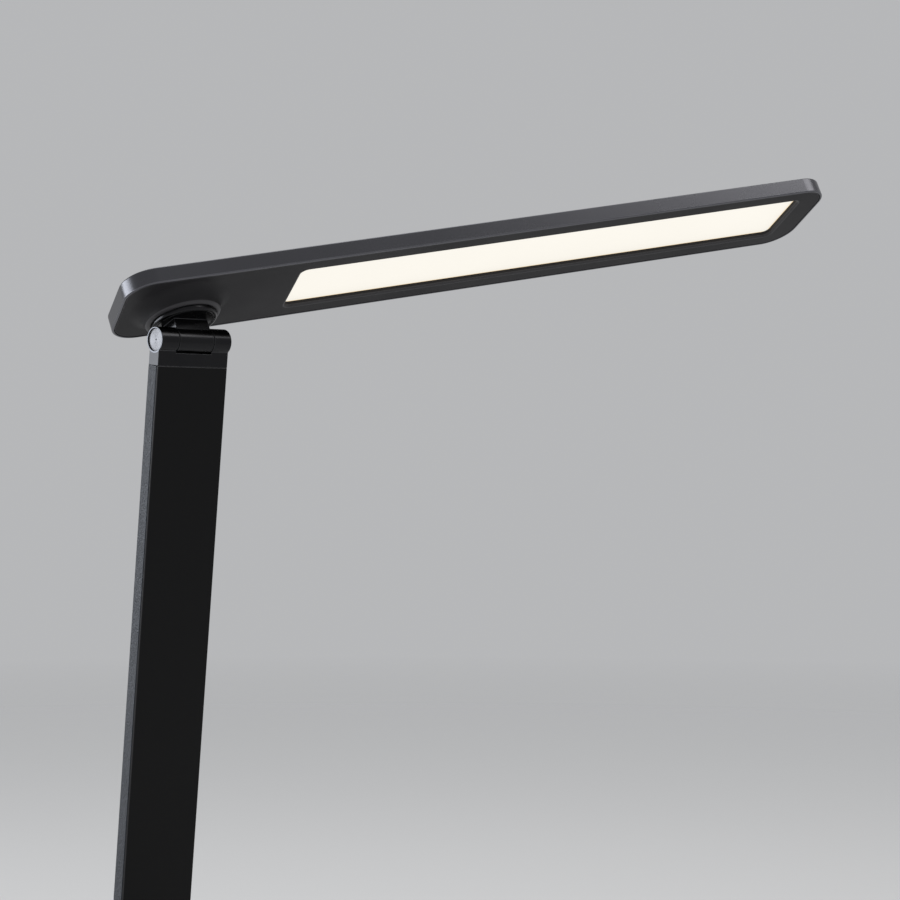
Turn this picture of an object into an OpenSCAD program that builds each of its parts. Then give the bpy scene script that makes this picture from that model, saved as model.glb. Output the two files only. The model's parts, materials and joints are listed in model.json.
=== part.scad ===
// Folding LED desk lamp: weighted base, flat folding arm, tilting and swivelling light bar.
// Millimetres. +Z is up, the hinge axes run along X, and the lamp leans and shines towards -Y.
// The origin is the centre of the face that the lamp stands on.

/* [Pose at rest] */
// Forward lean of the arm from upright, in degrees
arm_lean = 6.3; // [0:0.1:20]
// Upward pitch of the head from level, in degrees
head_pitch = 25; // [0:0.5:40]
// Swivel of the head from straight ahead, in degrees
head_swivel = 67.5; // [0:0.5:90]

/* [Head] */
// Length of the head
head_len = 374; // [330:1:420]
// Width of the head
head_w = 58; // [54:1:70]
// Thickness of the head
head_t = 7.9; // [7.8:0.1:11]
// Corner radius of the head seen from above
head_corner_r = 15; // [8:0.5:22]
// Distance from the swivel axis to the hinge end of the head
head_tail = 30; // [28:0.5:40]
// Chamfer round the outer edges of the head
head_edge = 0.5; // [0.2:0.1:0.8]
// Side wall of the head frame
head_wall = 1.2; // [0.8:0.1:1.6]
// Top wall of the head frame
head_top_t = 1.0; // [0.8:0.1:1.2]
// Thickness of the underside cover
cover_t = 1.2; // [0.8:0.1:1.3]
// Depth of the cover below the rim of the frame
cover_sink = 0.15; // [0.1:0.05:0.4]
// Groove between the cover and the frame
cover_gap = 0.3; // [0.15:0.05:0.5]

/* [Light panel] */
// Distance from the swivel axis to the near end of the window
window_start = 56.5; // [50:0.5:70]
// Bezel between the window and the far end of the head
end_bezel = 14.5; // [10:0.5:24]
// Bezel along each side of the window
side_bezel = 10; // [9:0.5:14]
// Corner radius of the window
window_r = 3.5; // [2:0.5:6]
// Depth of the diffuser below the underside
window_depth = 2.9; // [2.4:0.1:3.0]
// Wall of the flange round the window
window_wall = 1.0; // [0.8:0.1:1.5]
// Thickness of the diffuser
diffuser_t = 1.2; // [0.8:0.1:1.3]
// Overlap of the diffuser on each side of the window
diffuser_lap = 3; // [1.5:0.5:4]
// Thickness of the light guide
guide_t = 2.0; // [1.5:0.1:2.1]
// Thickness of the reflector sheet
reflector_t = 0.25; // [0.15:0.05:0.3]
// Lamp chips on each strip
chip_count = 24; // [12:1:40]
// Length of one lamp chip
chip_l = 3.5; // [2:0.5:4]
// Depth of one lamp chip
chip_d = 0.8; // [0.6:0.1:1]
// Distance from the window's ends to the ends of the strips
strip_inset = 4; // [3:0.5:10]
// Thickness of a strip board
strip_t = 1.0; // [0.8:0.1:1.2]
// Thickness of a heat bar
heat_bar_t = 1.2; // [0.8:0.1:1.5]

/* [Swivel] */
// Height of the head's underside above the tilt axis
hinge_drop = 18; // [17.5:0.5:24]
// Drop of the collar below the underside
collar_h = 7.2; // [6:0.1:7.6]
// Outer radius of the collar's ring
collar_r = 18.2; // [17.8:0.1:19]
// Radius of the ring's round section
collar_bead = 2.0; // [1.6:0.1:2.2]
// Radius where the collar's flare meets the cover
flare_r = 25; // [24:0.5:25.5]
// Radius of the swivel disc
disc_r = 15.7; // [15:0.1:15.8]
// Thickness of the swivel disc
disc_t = 2.2; // [2:0.1:2.6]
// Radius of the round at the disc's open edge
disc_edge = 1.1; // [0.6:0.1:1.4]
// Depth of the dish in the disc's open face
disc_dish = 0.3; // [0.2:0.1:0.6]
// Floor of the hollow inside the collar
collar_floor = 1.5; // [1.2:0.1:2]
// Radius of the boss that passes through the cover
boss_r = 7; // [6.5:0.1:8]
// Radius of the hollow spigot that carries the head
spigot_r = 5; // [4.5:0.1:5.5]
// Radius of the wire way through the spigot
wire_way_r = 1.9; // [1.6:0.1:2.2]
// Radius of the retaining plate in the head
swivel_plate_r = 20; // [18.5:0.5:22]
// Thickness of the retaining plate
swivel_plate_t = 1.5; // [1.2:0.1:1.6]
// Thickness of the swivel's spring washer
swivel_washer_t = 0.5; // [0.4:0.1:0.6]
// Thickness of the swivel nut
swivel_nut_t = 1.2; // [1:0.1:1.3]
// Width of the swivel nut across its flats
swivel_nut_af = 15; // [13:0.5:16]
// Radius of the circle of retaining screws
plate_screw_ring = 15.5; // [14.5:0.5:17]
// Head radius of the retaining screws
plate_screw_head_r = 2.0; // [1.8:0.1:2.4]
// Head thickness of the retaining screws
plate_screw_head_t = 1.1; // [0.8:0.1:1.2]
// Shank radius of the retaining screws
plate_screw_r = 1.0; // [0.8:0.1:1.2]

/* [Hinges] */
// Radius of the hinge barrels
barrel_r = 6; // [5.5:0.1:6.5]
// Length of the middle knuckle
knuckle_l = 19.5; // [16:0.5:22]
// Gap between neighbouring knuckles
knuckle_gap = 0.4; // [0.4:0.05:0.7]
// Clearance of the fork's pocket round the middle knuckle
pocket_gap = 0.8; // [0.4:0.1:1]
// Radius of the hinge pins
pin_r = 2.5; // [2:0.1:3]
// Radius of the wire way in a hinge pin
pin_bore_r = 1.4; // [1:0.1:1.6]
// Depth of the counterbore in each barrel end
cap_seat = 2.2; // [1.8:0.1:3]
// Depth of the cap's face below the barrel end
cap_sink = 0.6; // [0.3:0.1:0.8]
// Wall of the rim round each cap
cap_rim = 0.85; // [0.7:0.05:1.2]
// Thickness of the friction washers
washer_t = 0.3; // [0.2:0.05:0.3]
// Step from the barrel's front to the front of the upright
upright_inset = 1.0; // [0.8:0.1:2]

/* [Arm] */
// Distance between the two hinge axes
arm_len = 365; // [360:1:420]
// Width of the arm
arm_w = 40; // [38:0.5:46]
// Thickness of the arm
arm_t = 7.7; // [7.6:0.1:9]
// Wall of the arm channel
arm_wall = 1.2; // [1:0.1:1.3]
// Corner radius at the back of the arm channel
arm_edge_r = 0.8; // [0.5:0.1:1]
// Thickness of the front plate
front_plate_t = 1.0; // [0.8:0.1:1.2]
// Shadow gap between the front plate and the channel
front_gap = 0.3; // [0.2:0.05:0.4]
// Thickness of the ribs behind the front plate
rib_t = 1.2; // [1:0.1:1.5]
// Depth of the ribs behind the front plate
rib_d = 3; // [2.5:0.1:3.2]
// Distance from a hinge axis to the end of the arm channel
neck_drop = 11.85; // [11:0.05:14]
// Step from the channel's back to the neck's back
neck_inset = 0.45; // [0.2:0.05:0.6]
// Length of the tongue inside the channel
tongue_l = 22; // [18:1:30]
// Radius of the wire way along the arm
arm_way_r = 1.5; // [1.4:0.1:1.6]
// Radius of the arm's lead
lead_r = 1.2; // [1:0.1:1.3]
// Spacing of the two screws at each end of the arm
arm_screw_x = 22; // [18:1:26]
// Shank radius of the arm screws
arm_screw_r = 1.25; // [1:0.05:1.4]
// Head radius of the arm screws
arm_screw_head_r = 2.3; // [2:0.1:2.5]

/* [Base] */
// Width of the base
base_w = 200; // [180:1:240]
// Depth of the base
base_d = 180; // [165:1:210]
// Height of the base
base_h = 16; // [15:0.5:20]
// Corner radius of the base
base_corner_r = 20; // [14:1:28]
// Chamfer round the top of the base
base_edge = 0.8; // [0.4:0.1:1.2]
// Chamfer round the foot of the base
base_foot_edge = 0.3; // [0.2:0.1:0.6]
// Side wall of the base shell
base_wall = 2.2; // [1.8:0.1:3]
// Top wall of the base shell
base_top_t = 2.5; // [2.4:0.1:3]
// Height of the shell's rim above the table
base_lift = 0.8; // [0.5:0.1:1.2]
// Thickness of the anti-slip pad
pad_t = 1.5; // [1.4:0.1:2]
// Thickness of the bottom plate
bottom_t = 1.5; // [1.2:0.1:2]
// Gap between the bottom plate and the shell's rim
bottom_gap = 0.25; // [0.15:0.05:0.4]
// Thickness of the iron weight
weight_t = 8; // [5:0.5:8.5]
// Margin between the iron weight and the shell's walls
weight_gap = 20; // [19:1:30]
// Distance from the back of the base to the lower hinge
hinge_inset = 40; // [34:1:46]
// Height of the lower hinge axis above the base
hinge_rise = 30; // [28:0.5:36]
// Thickness of the disc that carries the lower hinge
foot_disc_t = 4; // [3:0.5:5]
// Distance from the base's corner edges to the screw bosses
boss_inset = 14; // [12:1:18]
// Radius of the screw bosses
screw_boss_r = 4; // [3.5:0.1:5]
// Shank radius of the base screws
base_screw_r = 1.4; // [1.2:0.1:1.6]
// Head radius of the base screws
base_screw_head_r = 2.8; // [2.4:0.1:3]
// Radius of the circle of bracket screws
bracket_screw_ring = 9; // [8:0.25:9.5]
// Shank radius of the bracket screws
bracket_screw_r = 1.5; // [1.2:0.1:1.8]
// Head radius of the bracket screws
bracket_screw_head_r = 2.8; // [2.4:0.1:3]

/* [Controls and power] */
// Length of the touch panel
touch_l = 66; // [50:1:90]
// Width of the touch panel
touch_w = 12; // [10:0.5:16]
// Thickness of the touch panel
touch_t = 1.2; // [0.8:0.1:1.4]
// Distance from the front of the base to the middle of the touch panel
touch_front = 22; // [16:1:40]
// Thickness of the circuit boards
board_t = 1.2; // [1:0.1:1.4]
// Width of the power board
power_board_w = 40; // [30:1:50]
// Depth of the power board
power_board_d = 15; // [12:1:16]
// Distance of the inlet from the base's centre line
inlet_x = 12; // [11:1:14]
// Radius of the inlet's socket
inlet_bore_r = 2.9; // [2.8:0.05:3]
// Depth of the inlet's socket
inlet_depth = 9.5; // [8:0.5:10]
// Radius of the inlet's centre pin
inlet_pin_r = 1.05; // [1:0.05:1.1]
// Radius of the inlet's round nose in the rear wall
inlet_nose_r = 3.9; // [3.8:0.1:4]
// Width and height of the inlet's body
inlet_body = 8.2; // [8:0.1:8.4]
// Length of the inlet's body behind the wall
inlet_body_l = 11; // [10.5:0.5:12]

/* [Hidden] */
$fn = 64;

// Clearances
cut = 1;
fit_gap = 0.01;
run_gap = 0.05;
loose_gap = 0.1;
part_gap = 0.3;

// Colours as the photograph shows them
body_grey = [0.27, 0.27, 0.29];
graphite = [0.15, 0.15, 0.16];
side_grey = [0.36, 0.37, 0.40];
steel = [0.72, 0.73, 0.75];
lamp_white = [1.0, 0.98, 0.93];
board_green = [0.10, 0.32, 0.18];
black = [0.05, 0.05, 0.055];
copper = [0.72, 0.45, 0.28];

// Head levels, measured up from the plane of the underside
cover_top = cover_sink + cover_t;
guide_z = window_depth + diffuser_t;
reflector_z = guide_z + guide_t;
foam_z = reflector_z + reflector_t;
roof_z = head_t - head_top_t;
head_inner_w = head_w - 2 * head_wall;
window_len = head_len - head_tail - window_start - end_bezel;
window_w = head_w - 2 * side_bezel;
window_mid = window_start + window_len / 2;
strip_y = head_inner_w / 2 - heat_bar_t - strip_t;
guide_w = 2 * (strip_y - chip_d - loose_gap);
strip_l = window_len - 2 * strip_inset;
strip_h = guide_t + diffuser_t;
plate_z = cover_top + plate_screw_head_t + run_gap;
plate_top = plate_z + swivel_plate_t;
washer_z = plate_top + run_gap;
nut_z = washer_z + swivel_washer_t;
nut_top = nut_z + swivel_nut_t;
ribbon_t = roof_z - nut_top - loose_gap;
disc_bottom = -collar_h - disc_t;
dish_r = disc_r - disc_edge - 0.3;
hub_r = boss_r + part_gap + 1.7;
head_mid_x = head_len / 2 - head_tail;

// Arm levels, measured along the arm from the lower hinge axis
pocket_r = barrel_r + pocket_gap;
pocket_half = knuckle_l / 2 + knuckle_gap;
upright_t = 2 * (barrel_r - upright_inset);
cap_r = barrel_r - cap_rim;
neck_t = arm_t - neck_inset;
channel_l = arm_len - 2 * neck_drop;
channel_depth = arm_t - front_plate_t - front_gap;
inner_w = arm_w - 2 * arm_wall;
tongue_t = channel_depth - arm_wall - loose_gap;
tongue_w = inner_w - 2 * rib_t - 4 * loose_gap;
tongue_y = arm_t / 2 - arm_wall - loose_gap / 2 - tongue_t / 2;
pin_l = arm_w - 2 * cap_seat;

// Base levels
plate_bottom = pad_t;
plate_upper = pad_t + bottom_t;
base_roof = base_h - base_top_t;
base_inner_w = base_w - 2 * base_wall;
base_inner_d = base_d - 2 * base_wall;
base_inner_r = base_corner_r - base_wall;
hinge_back = base_d / 2 - hinge_inset;
seat_z = base_h + collar_h - part_gap;
seat_floor_z = seat_z - base_top_t;
weight_w = base_inner_w - 2 * weight_gap;
weight_front = weight_gap - base_inner_d / 2;
weight_back = hinge_back - bracket_screw_ring - bracket_screw_head_r - weight_gap / 2;
axis_z = base_h + hinge_rise;
inlet_z = base_roof - board_t - inlet_body / 2;
board_back = base_d / 2 - base_wall - 1;
boss_x = base_w / 2 - boss_inset;
boss_y = base_d / 2 - boss_inset;

// Rounded rectangle, centred
module rounded(l, w, r) {
    square([l - 2 * r, w], center = true);
    square([l, w - 2 * r], center = true);
    for (x = [-1, 1], y = [-1, 1])
        translate([x * (l / 2 - r), y * (w / 2 - r)])
            circle(r);
}

// Slab with a rounded outline, standing on its own z = 0
module slab(l, w, r, h) {
    linear_extrude(h) rounded(l, w, r);
}

// Bar along X whose section has chamfers at its low and high edges
module chamfered_bar(w, length, h, low, high) {
    side = w / 2;
    rotate([90, 0, 90])
        linear_extrude(length, center = true)
            polygon([[low - side, 0], [side - low, 0], [side, low], [side, h - high],
                [side - high, h], [high - side, h], [-side, h - high], [-side, low]]);
}

// Slab with a rounded outline and chamfers round its low and high edges
module edged_slab(l, w, r, h, low, high) {
    for (x = [-1, 1], y = [-1, 1])
        translate([x * (l / 2 - r), y * (w / 2 - r), 0])
            rotate_extrude()
                polygon([[0, 0], [r - low, 0], [r, low], [r, h - high], [r - high, h], [0, h]]);
    chamfered_bar(w, l - 2 * r, h, low, high);
    rotate([0, 0, 90]) chamfered_bar(l, w - 2 * r, h, low, high);
}

// Cylinder along X between two places
module rod_x(x0, x1, r) {
    translate([x0, 0, 0]) rotate([0, 90, 0]) cylinder(h = x1 - x0, r = r);
}

// Frames of the moving bodies, each with its origin on its own axis
module at_lower_axis() {
    translate([0, hinge_back, axis_z]) children();
}

module in_arm() {
    at_lower_axis() rotate([arm_lean, 0, 0]) children();
}

module in_tilt() {
    in_arm() translate([0, 0, arm_len]) rotate([-arm_lean - head_pitch, 0, 0]) children();
}

module in_head() {
    in_tilt() translate([0, 0, hinge_drop]) rotate([0, 0, head_swivel - 90]) children();
}

// Section of the raised collar: a flare that runs smoothly from the plate into a round ring,
// with a seat for the swivel disc inside the ring
module collar_profile(depth) {
    bead_x = collar_r - collar_bead;
    bead_y = collar_bead - depth;
    reach = flare_r - bead_x;
    flare_round = (reach * reach + bead_y * bead_y - collar_bead * collar_bead) / (2 * depth);
    span = flare_round + collar_bead;
    touch_x = bead_x + reach * collar_bead / span;
    touch_y = bead_y - (flare_round + bead_y) * collar_bead / span;
    difference() {
        union() {
            polygon([[0, fit_gap], [flare_r, fit_gap], [flare_r, touch_y], [touch_x, touch_y],
                [bead_x, bead_y], [bead_x, -depth], [0, -depth]]);
            translate([bead_x, bead_y]) circle(collar_bead);
        }
        translate([flare_r, -flare_round]) circle(flare_round);
        translate([-cut, -depth - cut]) square([disc_r + part_gap + cut, part_gap + cut]);
    }
}

// Disc with a rounded edge and a shallow dish on its open face, which is at z = 0
module dished_disc(thickness) {
    rotate_extrude() {
        translate([disc_r - disc_edge, disc_edge]) circle(disc_edge);
        polygon([[0, disc_dish], [dish_r, disc_dish], [dish_r, 0], [disc_r - disc_edge, 0],
            [disc_r - disc_edge, disc_edge], [disc_r, disc_edge], [disc_r, thickness], [0, thickness]]);
    }
}

// Fork of a hinge: a flat neck that ends in two knuckles with a pocket between them.
// Its hinge axis is at z = 0 and it points up.
module fork() {
    difference() {
        union() {
            rod_x(-arm_w / 2, arm_w / 2, barrel_r);
            translate([-arm_w / 2, -arm_t / 2, -neck_drop])
                cube([arm_w, neck_t, neck_drop]);
            translate([-tongue_w / 2, tongue_y - tongue_t / 2, -neck_drop - tongue_l])
                cube([tongue_w, tongue_t, tongue_l + cut]);
        }
        rod_x(-pocket_half, pocket_half, pocket_r);
        rod_x(-arm_w, arm_w, pin_r + fit_gap);
        for (side = [0, 180])
            rotate([0, 0, side])
                rod_x(arm_w / 2 - cap_seat, arm_w, cap_r + fit_gap);
        translate([0, tongue_y, -neck_drop - tongue_l - cut])
            cylinder(h = neck_drop + tongue_l, r = arm_way_r);
        for (x = [-1, 1])
            translate([x * arm_screw_x / 2, arm_t, -neck_drop - tongue_l / 2])
                rotate([90, 0, 0])
                    cylinder(h = 2 * arm_t, r = arm_screw_r + fit_gap);
    }
}

// Hollow hinge pin with a side hole for the wires
module hinge_pin() {
    difference() {
        rod_x(-pin_l / 2, pin_l / 2, pin_r);
        rod_x(-pin_l, pin_l, pin_bore_r);
        translate([0, 0, -pin_r - cut])
            cylinder(h = 2 * (pin_r + cut), r = pin_bore_r - loose_gap);
    }
}

// Pair of turned end caps with a shallow dish in each face
module hinge_caps() {
    face = arm_w / 2 - cap_sink;
    floor_x = arm_w / 2 - cap_seat;
    dish_depth = 0.2;
    for (side = [0, 180])
        rotate([0, 0, side])
            translate([floor_x, 0, 0])
                rotate([0, 90, 0])
                    difference() {
                        cylinder(h = face - floor_x, r = cap_r - fit_gap);
                        translate([0, 0, face - floor_x - dish_depth])
                            cylinder(h = dish_depth + fit_gap, r1 = 0.5, r2 = cap_r - 0.6);
                    }
}

// Pair of friction washers beside the middle knuckle
module hinge_washers() {
    for (side = [0, 180])
        rotate([0, 0, side])
            difference() {
                rod_x(pocket_half - washer_t, pocket_half, barrel_r - 0.4);
                rod_x(0, pocket_half + cut, pin_r + loose_gap);
            }
}

// Middle knuckle with its upright, which points up to the given height
module knuckle(height) {
    rod_x(-knuckle_l / 2, knuckle_l / 2, barrel_r);
    translate([-knuckle_l / 2, -upright_t / 2, 0])
        cube([knuckle_l, upright_t, height]);
}

// Base
module base_shell() {
    color(body_grey) difference() {
        union() {
            translate([0, 0, base_lift])
                edged_slab(base_w, base_d, base_corner_r, base_h - base_lift, base_foot_edge, base_edge);
            translate([0, hinge_back, base_h])
                mirror([0, 0, 1])
                    rotate_extrude() collar_profile(collar_h);
        }
        difference() {
            translate([0, 0, base_lift - cut])
                slab(base_inner_w, base_inner_d, base_inner_r, base_roof - base_lift + cut);
            for (x = [-1, 1], y = [-1, 1])
                translate([x * boss_x, y * boss_y, plate_upper])
                    cylinder(h = base_h, r = screw_boss_r);
        }
        for (x = [-1, 1], y = [-1, 1])
            translate([x * boss_x, y * boss_y, 0])
                cylinder(h = base_roof - 1, r = base_screw_r + fit_gap);
        translate([0, touch_front - base_d / 2, base_h - touch_t])
            slab(touch_l + 2 * loose_gap, touch_w + 2 * loose_gap, touch_w / 2, touch_t + cut);
        translate([0, hinge_back, base_roof - cut])
            cylinder(h = seat_floor_z - base_roof + cut, r = dish_r);
        translate([0, hinge_back, seat_floor_z - cut])
            cylinder(h = base_top_t + 2 * cut, r = wire_way_r);
        bracket_screw_places()
            translate([0, 0, seat_floor_z - cut])
                cylinder(h = base_top_t + 2 * cut, r = bracket_screw_r + loose_gap);
        translate([inlet_x, base_d / 2 + cut, inlet_z])
            rotate([90, 0, 0]) cylinder(h = base_wall + 2 * cut, r = inlet_nose_r + loose_gap);
    }
}

module bracket_screw_places() {
    for (turn = [45:90:315])
        translate([0, hinge_back, 0])
            rotate([0, 0, turn])
                translate([bracket_screw_ring, 0, 0]) children();
}

module base_plate() {
    edge = bottom_gap;
    color(steel) difference() {
        translate([0, 0, plate_bottom])
            slab(base_inner_w - 2 * edge, base_inner_d - 2 * edge, base_inner_r - edge, bottom_t);
        for (x = [-1, 1], y = [-1, 1])
            translate([x * boss_x, y * boss_y, plate_bottom])
                cylinder(h = bottom_t, r1 = base_screw_head_r + loose_gap, r2 = base_screw_r + loose_gap);
    }
}

module base_pad() {
    edge = bottom_gap;
    color(black)
        slab(base_inner_w - 2 * edge, base_inner_d - 2 * edge, base_inner_r - edge, pad_t);
}

module base_weight() {
    color(graphite)
        translate([0, (weight_front + weight_back) / 2, plate_upper])
            slab(weight_w, weight_back - weight_front, screw_boss_r, weight_t);
}

module base_screws() {
    tip = base_roof - 2;
    color(steel) for (x = [-1, 1], y = [-1, 1])
        translate([x * boss_x, y * boss_y, plate_bottom]) {
            cylinder(h = bottom_t, r1 = base_screw_head_r, r2 = base_screw_r);
            cylinder(h = tip - plate_bottom, r = base_screw_r);
        }
}

module touch_panel() {
    color(black)
        translate([0, touch_front - base_d / 2, base_h - touch_t])
            slab(touch_l, touch_w, touch_w / 2 - loose_gap, touch_t);
}

module touch_board() {
    color(board_green)
        translate([0, touch_front - base_d / 2, base_roof - board_t])
            slab(touch_l, touch_w, 1, board_t);
}

module touch_ribbon() {
    start_y = touch_front - base_d / 2 + touch_w / 2;
    end_y = board_back - power_board_d;
    color(steel)
        translate([-power_board_w / 2, start_y, base_roof - 0.3])
            cube([6, end_y - start_y, 0.3]);
}

module power_board() {
    color(board_green)
        translate([-power_board_w / 2, board_back - power_board_d, base_roof - board_t])
            cube([power_board_w, power_board_d, board_t]);
}

module power_inlet() {
    wall_y = base_d / 2 - base_wall;
    color(black) translate([inlet_x, 0, inlet_z])
        difference() {
            union() {
                translate([-inlet_body / 2, wall_y - inlet_body_l, -inlet_body / 2])
                    cube([inlet_body, inlet_body_l, inlet_body]);
                translate([0, base_d / 2 - loose_gap, 0])
                    rotate([90, 0, 0]) cylinder(h = base_wall + cut, r = inlet_nose_r);
            }
            translate([0, base_d / 2 + cut, 0])
                rotate([90, 0, 0])
                    difference() {
                        cylinder(h = inlet_depth + cut, r = inlet_bore_r);
                        translate([0, 0, 2 * cut])
                            cylinder(h = inlet_depth + cut, r = inlet_pin_r);
                    }
        }
}

module base_bracket() {
    disc_face = seat_z + foot_disc_t;
    color(graphite) difference() {
        union() {
            at_lower_axis() mirror([0, 0, 1]) knuckle(axis_z - seat_z - foot_disc_t / 2);
            translate([0, hinge_back, disc_face]) mirror([0, 0, 1]) dished_disc(foot_disc_t);
        }
        at_lower_axis() rod_x(-arm_w, arm_w, pin_r + run_gap);
        translate([0, hinge_back, seat_z - cut])
            cylinder(h = axis_z - seat_z + cut, r = wire_way_r);
        bracket_screw_places()
            translate([0, 0, seat_z - cut])
                cylinder(h = foot_disc_t - 1 + cut, r = bracket_screw_r + fit_gap);
    }
}

module bracket_screws() {
    head_h = 1.8;
    color(steel) bracket_screw_places()
        translate([0, 0, seat_floor_z - head_h]) {
            cylinder(h = head_h, r = bracket_screw_head_r);
            cylinder(h = head_h + base_top_t + foot_disc_t - 1.2, r = bracket_screw_r);
        }
}

module base_lead() {
    low = base_roof - lead_r - 0.2;
    high = axis_z - pin_r - part_gap;
    end_y = board_back - power_board_d - hinge_back;
    color(black) translate([0, hinge_back, 0]) {
        translate([0, 0, low]) cylinder(h = high - low, r = lead_r);
        translate([0, 0, low]) sphere(lead_r);
        translate([0, 0, low]) rotate([-90, 0, 0]) cylinder(h = end_y, r = lead_r);
    }
}

// Arm
module arm_channel() {
    back = arm_t / 2;
    color(side_grey) in_arm() difference() {
        translate([0, 0, neck_drop])
            linear_extrude(channel_l)
                difference() {
                    union() {
                        translate([-arm_w / 2, back - channel_depth])
                            square([arm_w, channel_depth - arm_edge_r]);
                        translate([-arm_w / 2 + arm_edge_r, back - arm_edge_r])
                            square([arm_w - 2 * arm_edge_r, arm_edge_r]);
                        for (x = [-1, 1])
                            translate([x * (arm_w / 2 - arm_edge_r), back - arm_edge_r])
                                circle(arm_edge_r);
                    }
                    translate([-inner_w / 2, back - arm_wall - 2 * arm_t])
                        square([inner_w, 2 * arm_t]);
                }
        arm_screw_places()
            rotate([90, 0, 0])
                cylinder(h = arm_wall, r1 = arm_screw_head_r + loose_gap, r2 = arm_screw_r + loose_gap);
    }
}

// Places of the four arm screws on the back face, in the arm's frame
module arm_screw_places() {
    reach = neck_drop + tongue_l / 2;
    for (x = [-1, 1], z = [reach, arm_len - reach])
        translate([x * arm_screw_x / 2, arm_t / 2, z]) children();
}

module arm_front_plate() {
    color(graphite) in_arm() {
        translate([-arm_w / 2, -arm_t / 2, neck_drop])
            cube([arm_w, front_plate_t, channel_l]);
        for (x = [-1, 1])
            translate([x * (inner_w / 2 - rib_t / 2 - loose_gap) - rib_t / 2, -arm_t / 2, neck_drop])
                cube([rib_t, front_plate_t + rib_d, channel_l]);
    }
}

module arm_foot() {
    color(graphite) in_arm() mirror([0, 0, 1]) fork();
}

module arm_neck() {
    color(graphite) in_arm() translate([0, 0, arm_len]) fork();
}

module arm_screws() {
    length = arm_wall + tongue_t;
    color(steel) in_arm() arm_screw_places()
        rotate([90, 0, 0]) {
            cylinder(h = arm_wall, r1 = arm_screw_head_r, r2 = arm_screw_r);
            cylinder(h = length, r = arm_screw_r);
        }
}

module arm_lead() {
    end = pocket_r + part_gap;
    color(black) in_arm()
        translate([0, tongue_y, end])
            cylinder(h = arm_len - 2 * end, r = lead_r);
}

module lower_hinge_pin() {
    color(steel) at_lower_axis() hinge_pin();
}

module lower_hinge_caps() {
    color(steel) at_lower_axis() hinge_caps();
}

module lower_hinge_washers() {
    color(black) at_lower_axis() hinge_washers();
}

module upper_hinge_pin() {
    color(steel) in_arm() translate([0, 0, arm_len]) hinge_pin();
}

module upper_hinge_caps() {
    color(steel) in_arm() translate([0, 0, arm_len]) hinge_caps();
}

module upper_hinge_washers() {
    color(black) in_arm() translate([0, 0, arm_len]) hinge_washers();
}

// Tilting bracket, from the middle knuckle up to the swivel spigot
module tilt_bracket() {
    disc_low = hinge_drop + disc_bottom;
    disc_mid = disc_low + disc_t / 2;
    boss_top = hinge_drop + plate_z - run_gap;
    spigot_top = hinge_drop + nut_top;
    color(graphite) in_tilt() difference() {
        union() {
            knuckle(disc_mid);
            translate([0, 0, disc_low]) dished_disc(disc_t);
            translate([0, 0, disc_mid]) cylinder(h = boss_top - disc_mid, r = boss_r);
            translate([0, 0, disc_mid]) cylinder(h = spigot_top - disc_mid, r = spigot_r);
        }
        rod_x(-arm_w, arm_w, pin_r + run_gap);
        cylinder(h = spigot_top + cut, r = wire_way_r);
    }
}

module swivel_washer() {
    color(steel) in_tilt()
        translate([0, 0, hinge_drop + washer_z])
            difference() {
                cylinder(h = swivel_washer_t, r = swivel_nut_af / 2);
                translate([0, 0, -cut])
                    cylinder(h = swivel_washer_t + 2 * cut, r = spigot_r + loose_gap);
            }
}

module swivel_nut() {
    color(steel) in_tilt()
        translate([0, 0, hinge_drop + nut_z])
            difference() {
                cylinder(h = swivel_nut_t, r = swivel_nut_af / sqrt(3), $fn = 6);
                translate([0, 0, -cut])
                    cylinder(h = swivel_nut_t + 2 * cut, r = spigot_r + fit_gap);
            }
}

// Head
module head_frame() {
    color(body_grey) in_head() {
        difference() {
            translate([head_mid_x, 0, 0])
                edged_slab(head_len, head_w, head_corner_r, head_t, head_edge, head_edge);
            translate([head_mid_x, 0, -cut])
                slab(head_len - 2 * head_wall, head_inner_w, head_corner_r - head_wall, roof_z + cut);
        }
        plate_screw_places()
            translate([0, 0, plate_top])
                difference() {
                    cylinder(h = roof_z - plate_top + head_top_t / 2, r = 2.2);
                    translate([0, 0, -cut])
                        cylinder(h = roof_z - plate_top + cut, r = plate_screw_r + fit_gap);
                }
    }
}

module plate_screw_places() {
    for (turn = [45:90:315])
        rotate([0, 0, turn])
            translate([plate_screw_ring, 0, 0]) children();
}

module head_cover() {
    edge = head_wall + cover_gap;
    flange = window_wall;
    color(body_grey) in_head() difference() {
        union() {
            translate([head_mid_x, 0, cover_sink])
                slab(head_len - 2 * edge, head_w - 2 * edge, head_corner_r - edge, cover_t);
            translate([window_mid, 0, cover_sink])
                slab(window_len + 2 * flange, window_w + 2 * flange, window_r + flange,
                    window_depth - cover_sink);
            translate([0, 0, cover_sink]) rotate_extrude() collar_profile(collar_h + cover_sink);
        }
        translate([0, 0, part_gap + collar_floor - collar_h])
            difference() {
                cylinder(h = collar_h + cover_top, r = dish_r);
                cylinder(h = 2 * collar_h, r = hub_r);
            }
        translate([window_mid, 0, -cut])
            slab(window_len, window_w, window_r, window_depth + 2 * cut);
        translate([0, 0, -collar_h - cut])
            cylinder(h = collar_h + cover_top + 2 * cut, r = boss_r + part_gap);
    }
}

module diffuser() {
    color(lamp_white) in_head()
        translate([window_mid, 0, window_depth])
            slab(window_len + 2 * diffuser_lap, window_w + 2 * diffuser_lap, window_r, diffuser_t);
}

module light_guide() {
    color([0.9, 0.95, 1.0]) in_head()
        translate([window_mid, 0, guide_z])
            slab(window_len + 2 * diffuser_lap, guide_w, 1, guide_t);
}

module reflector_sheet() {
    color(lamp_white) in_head()
        translate([window_mid, 0, reflector_z])
            slab(window_len + 2 * diffuser_lap, guide_w, 1, reflector_t);
}

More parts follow.
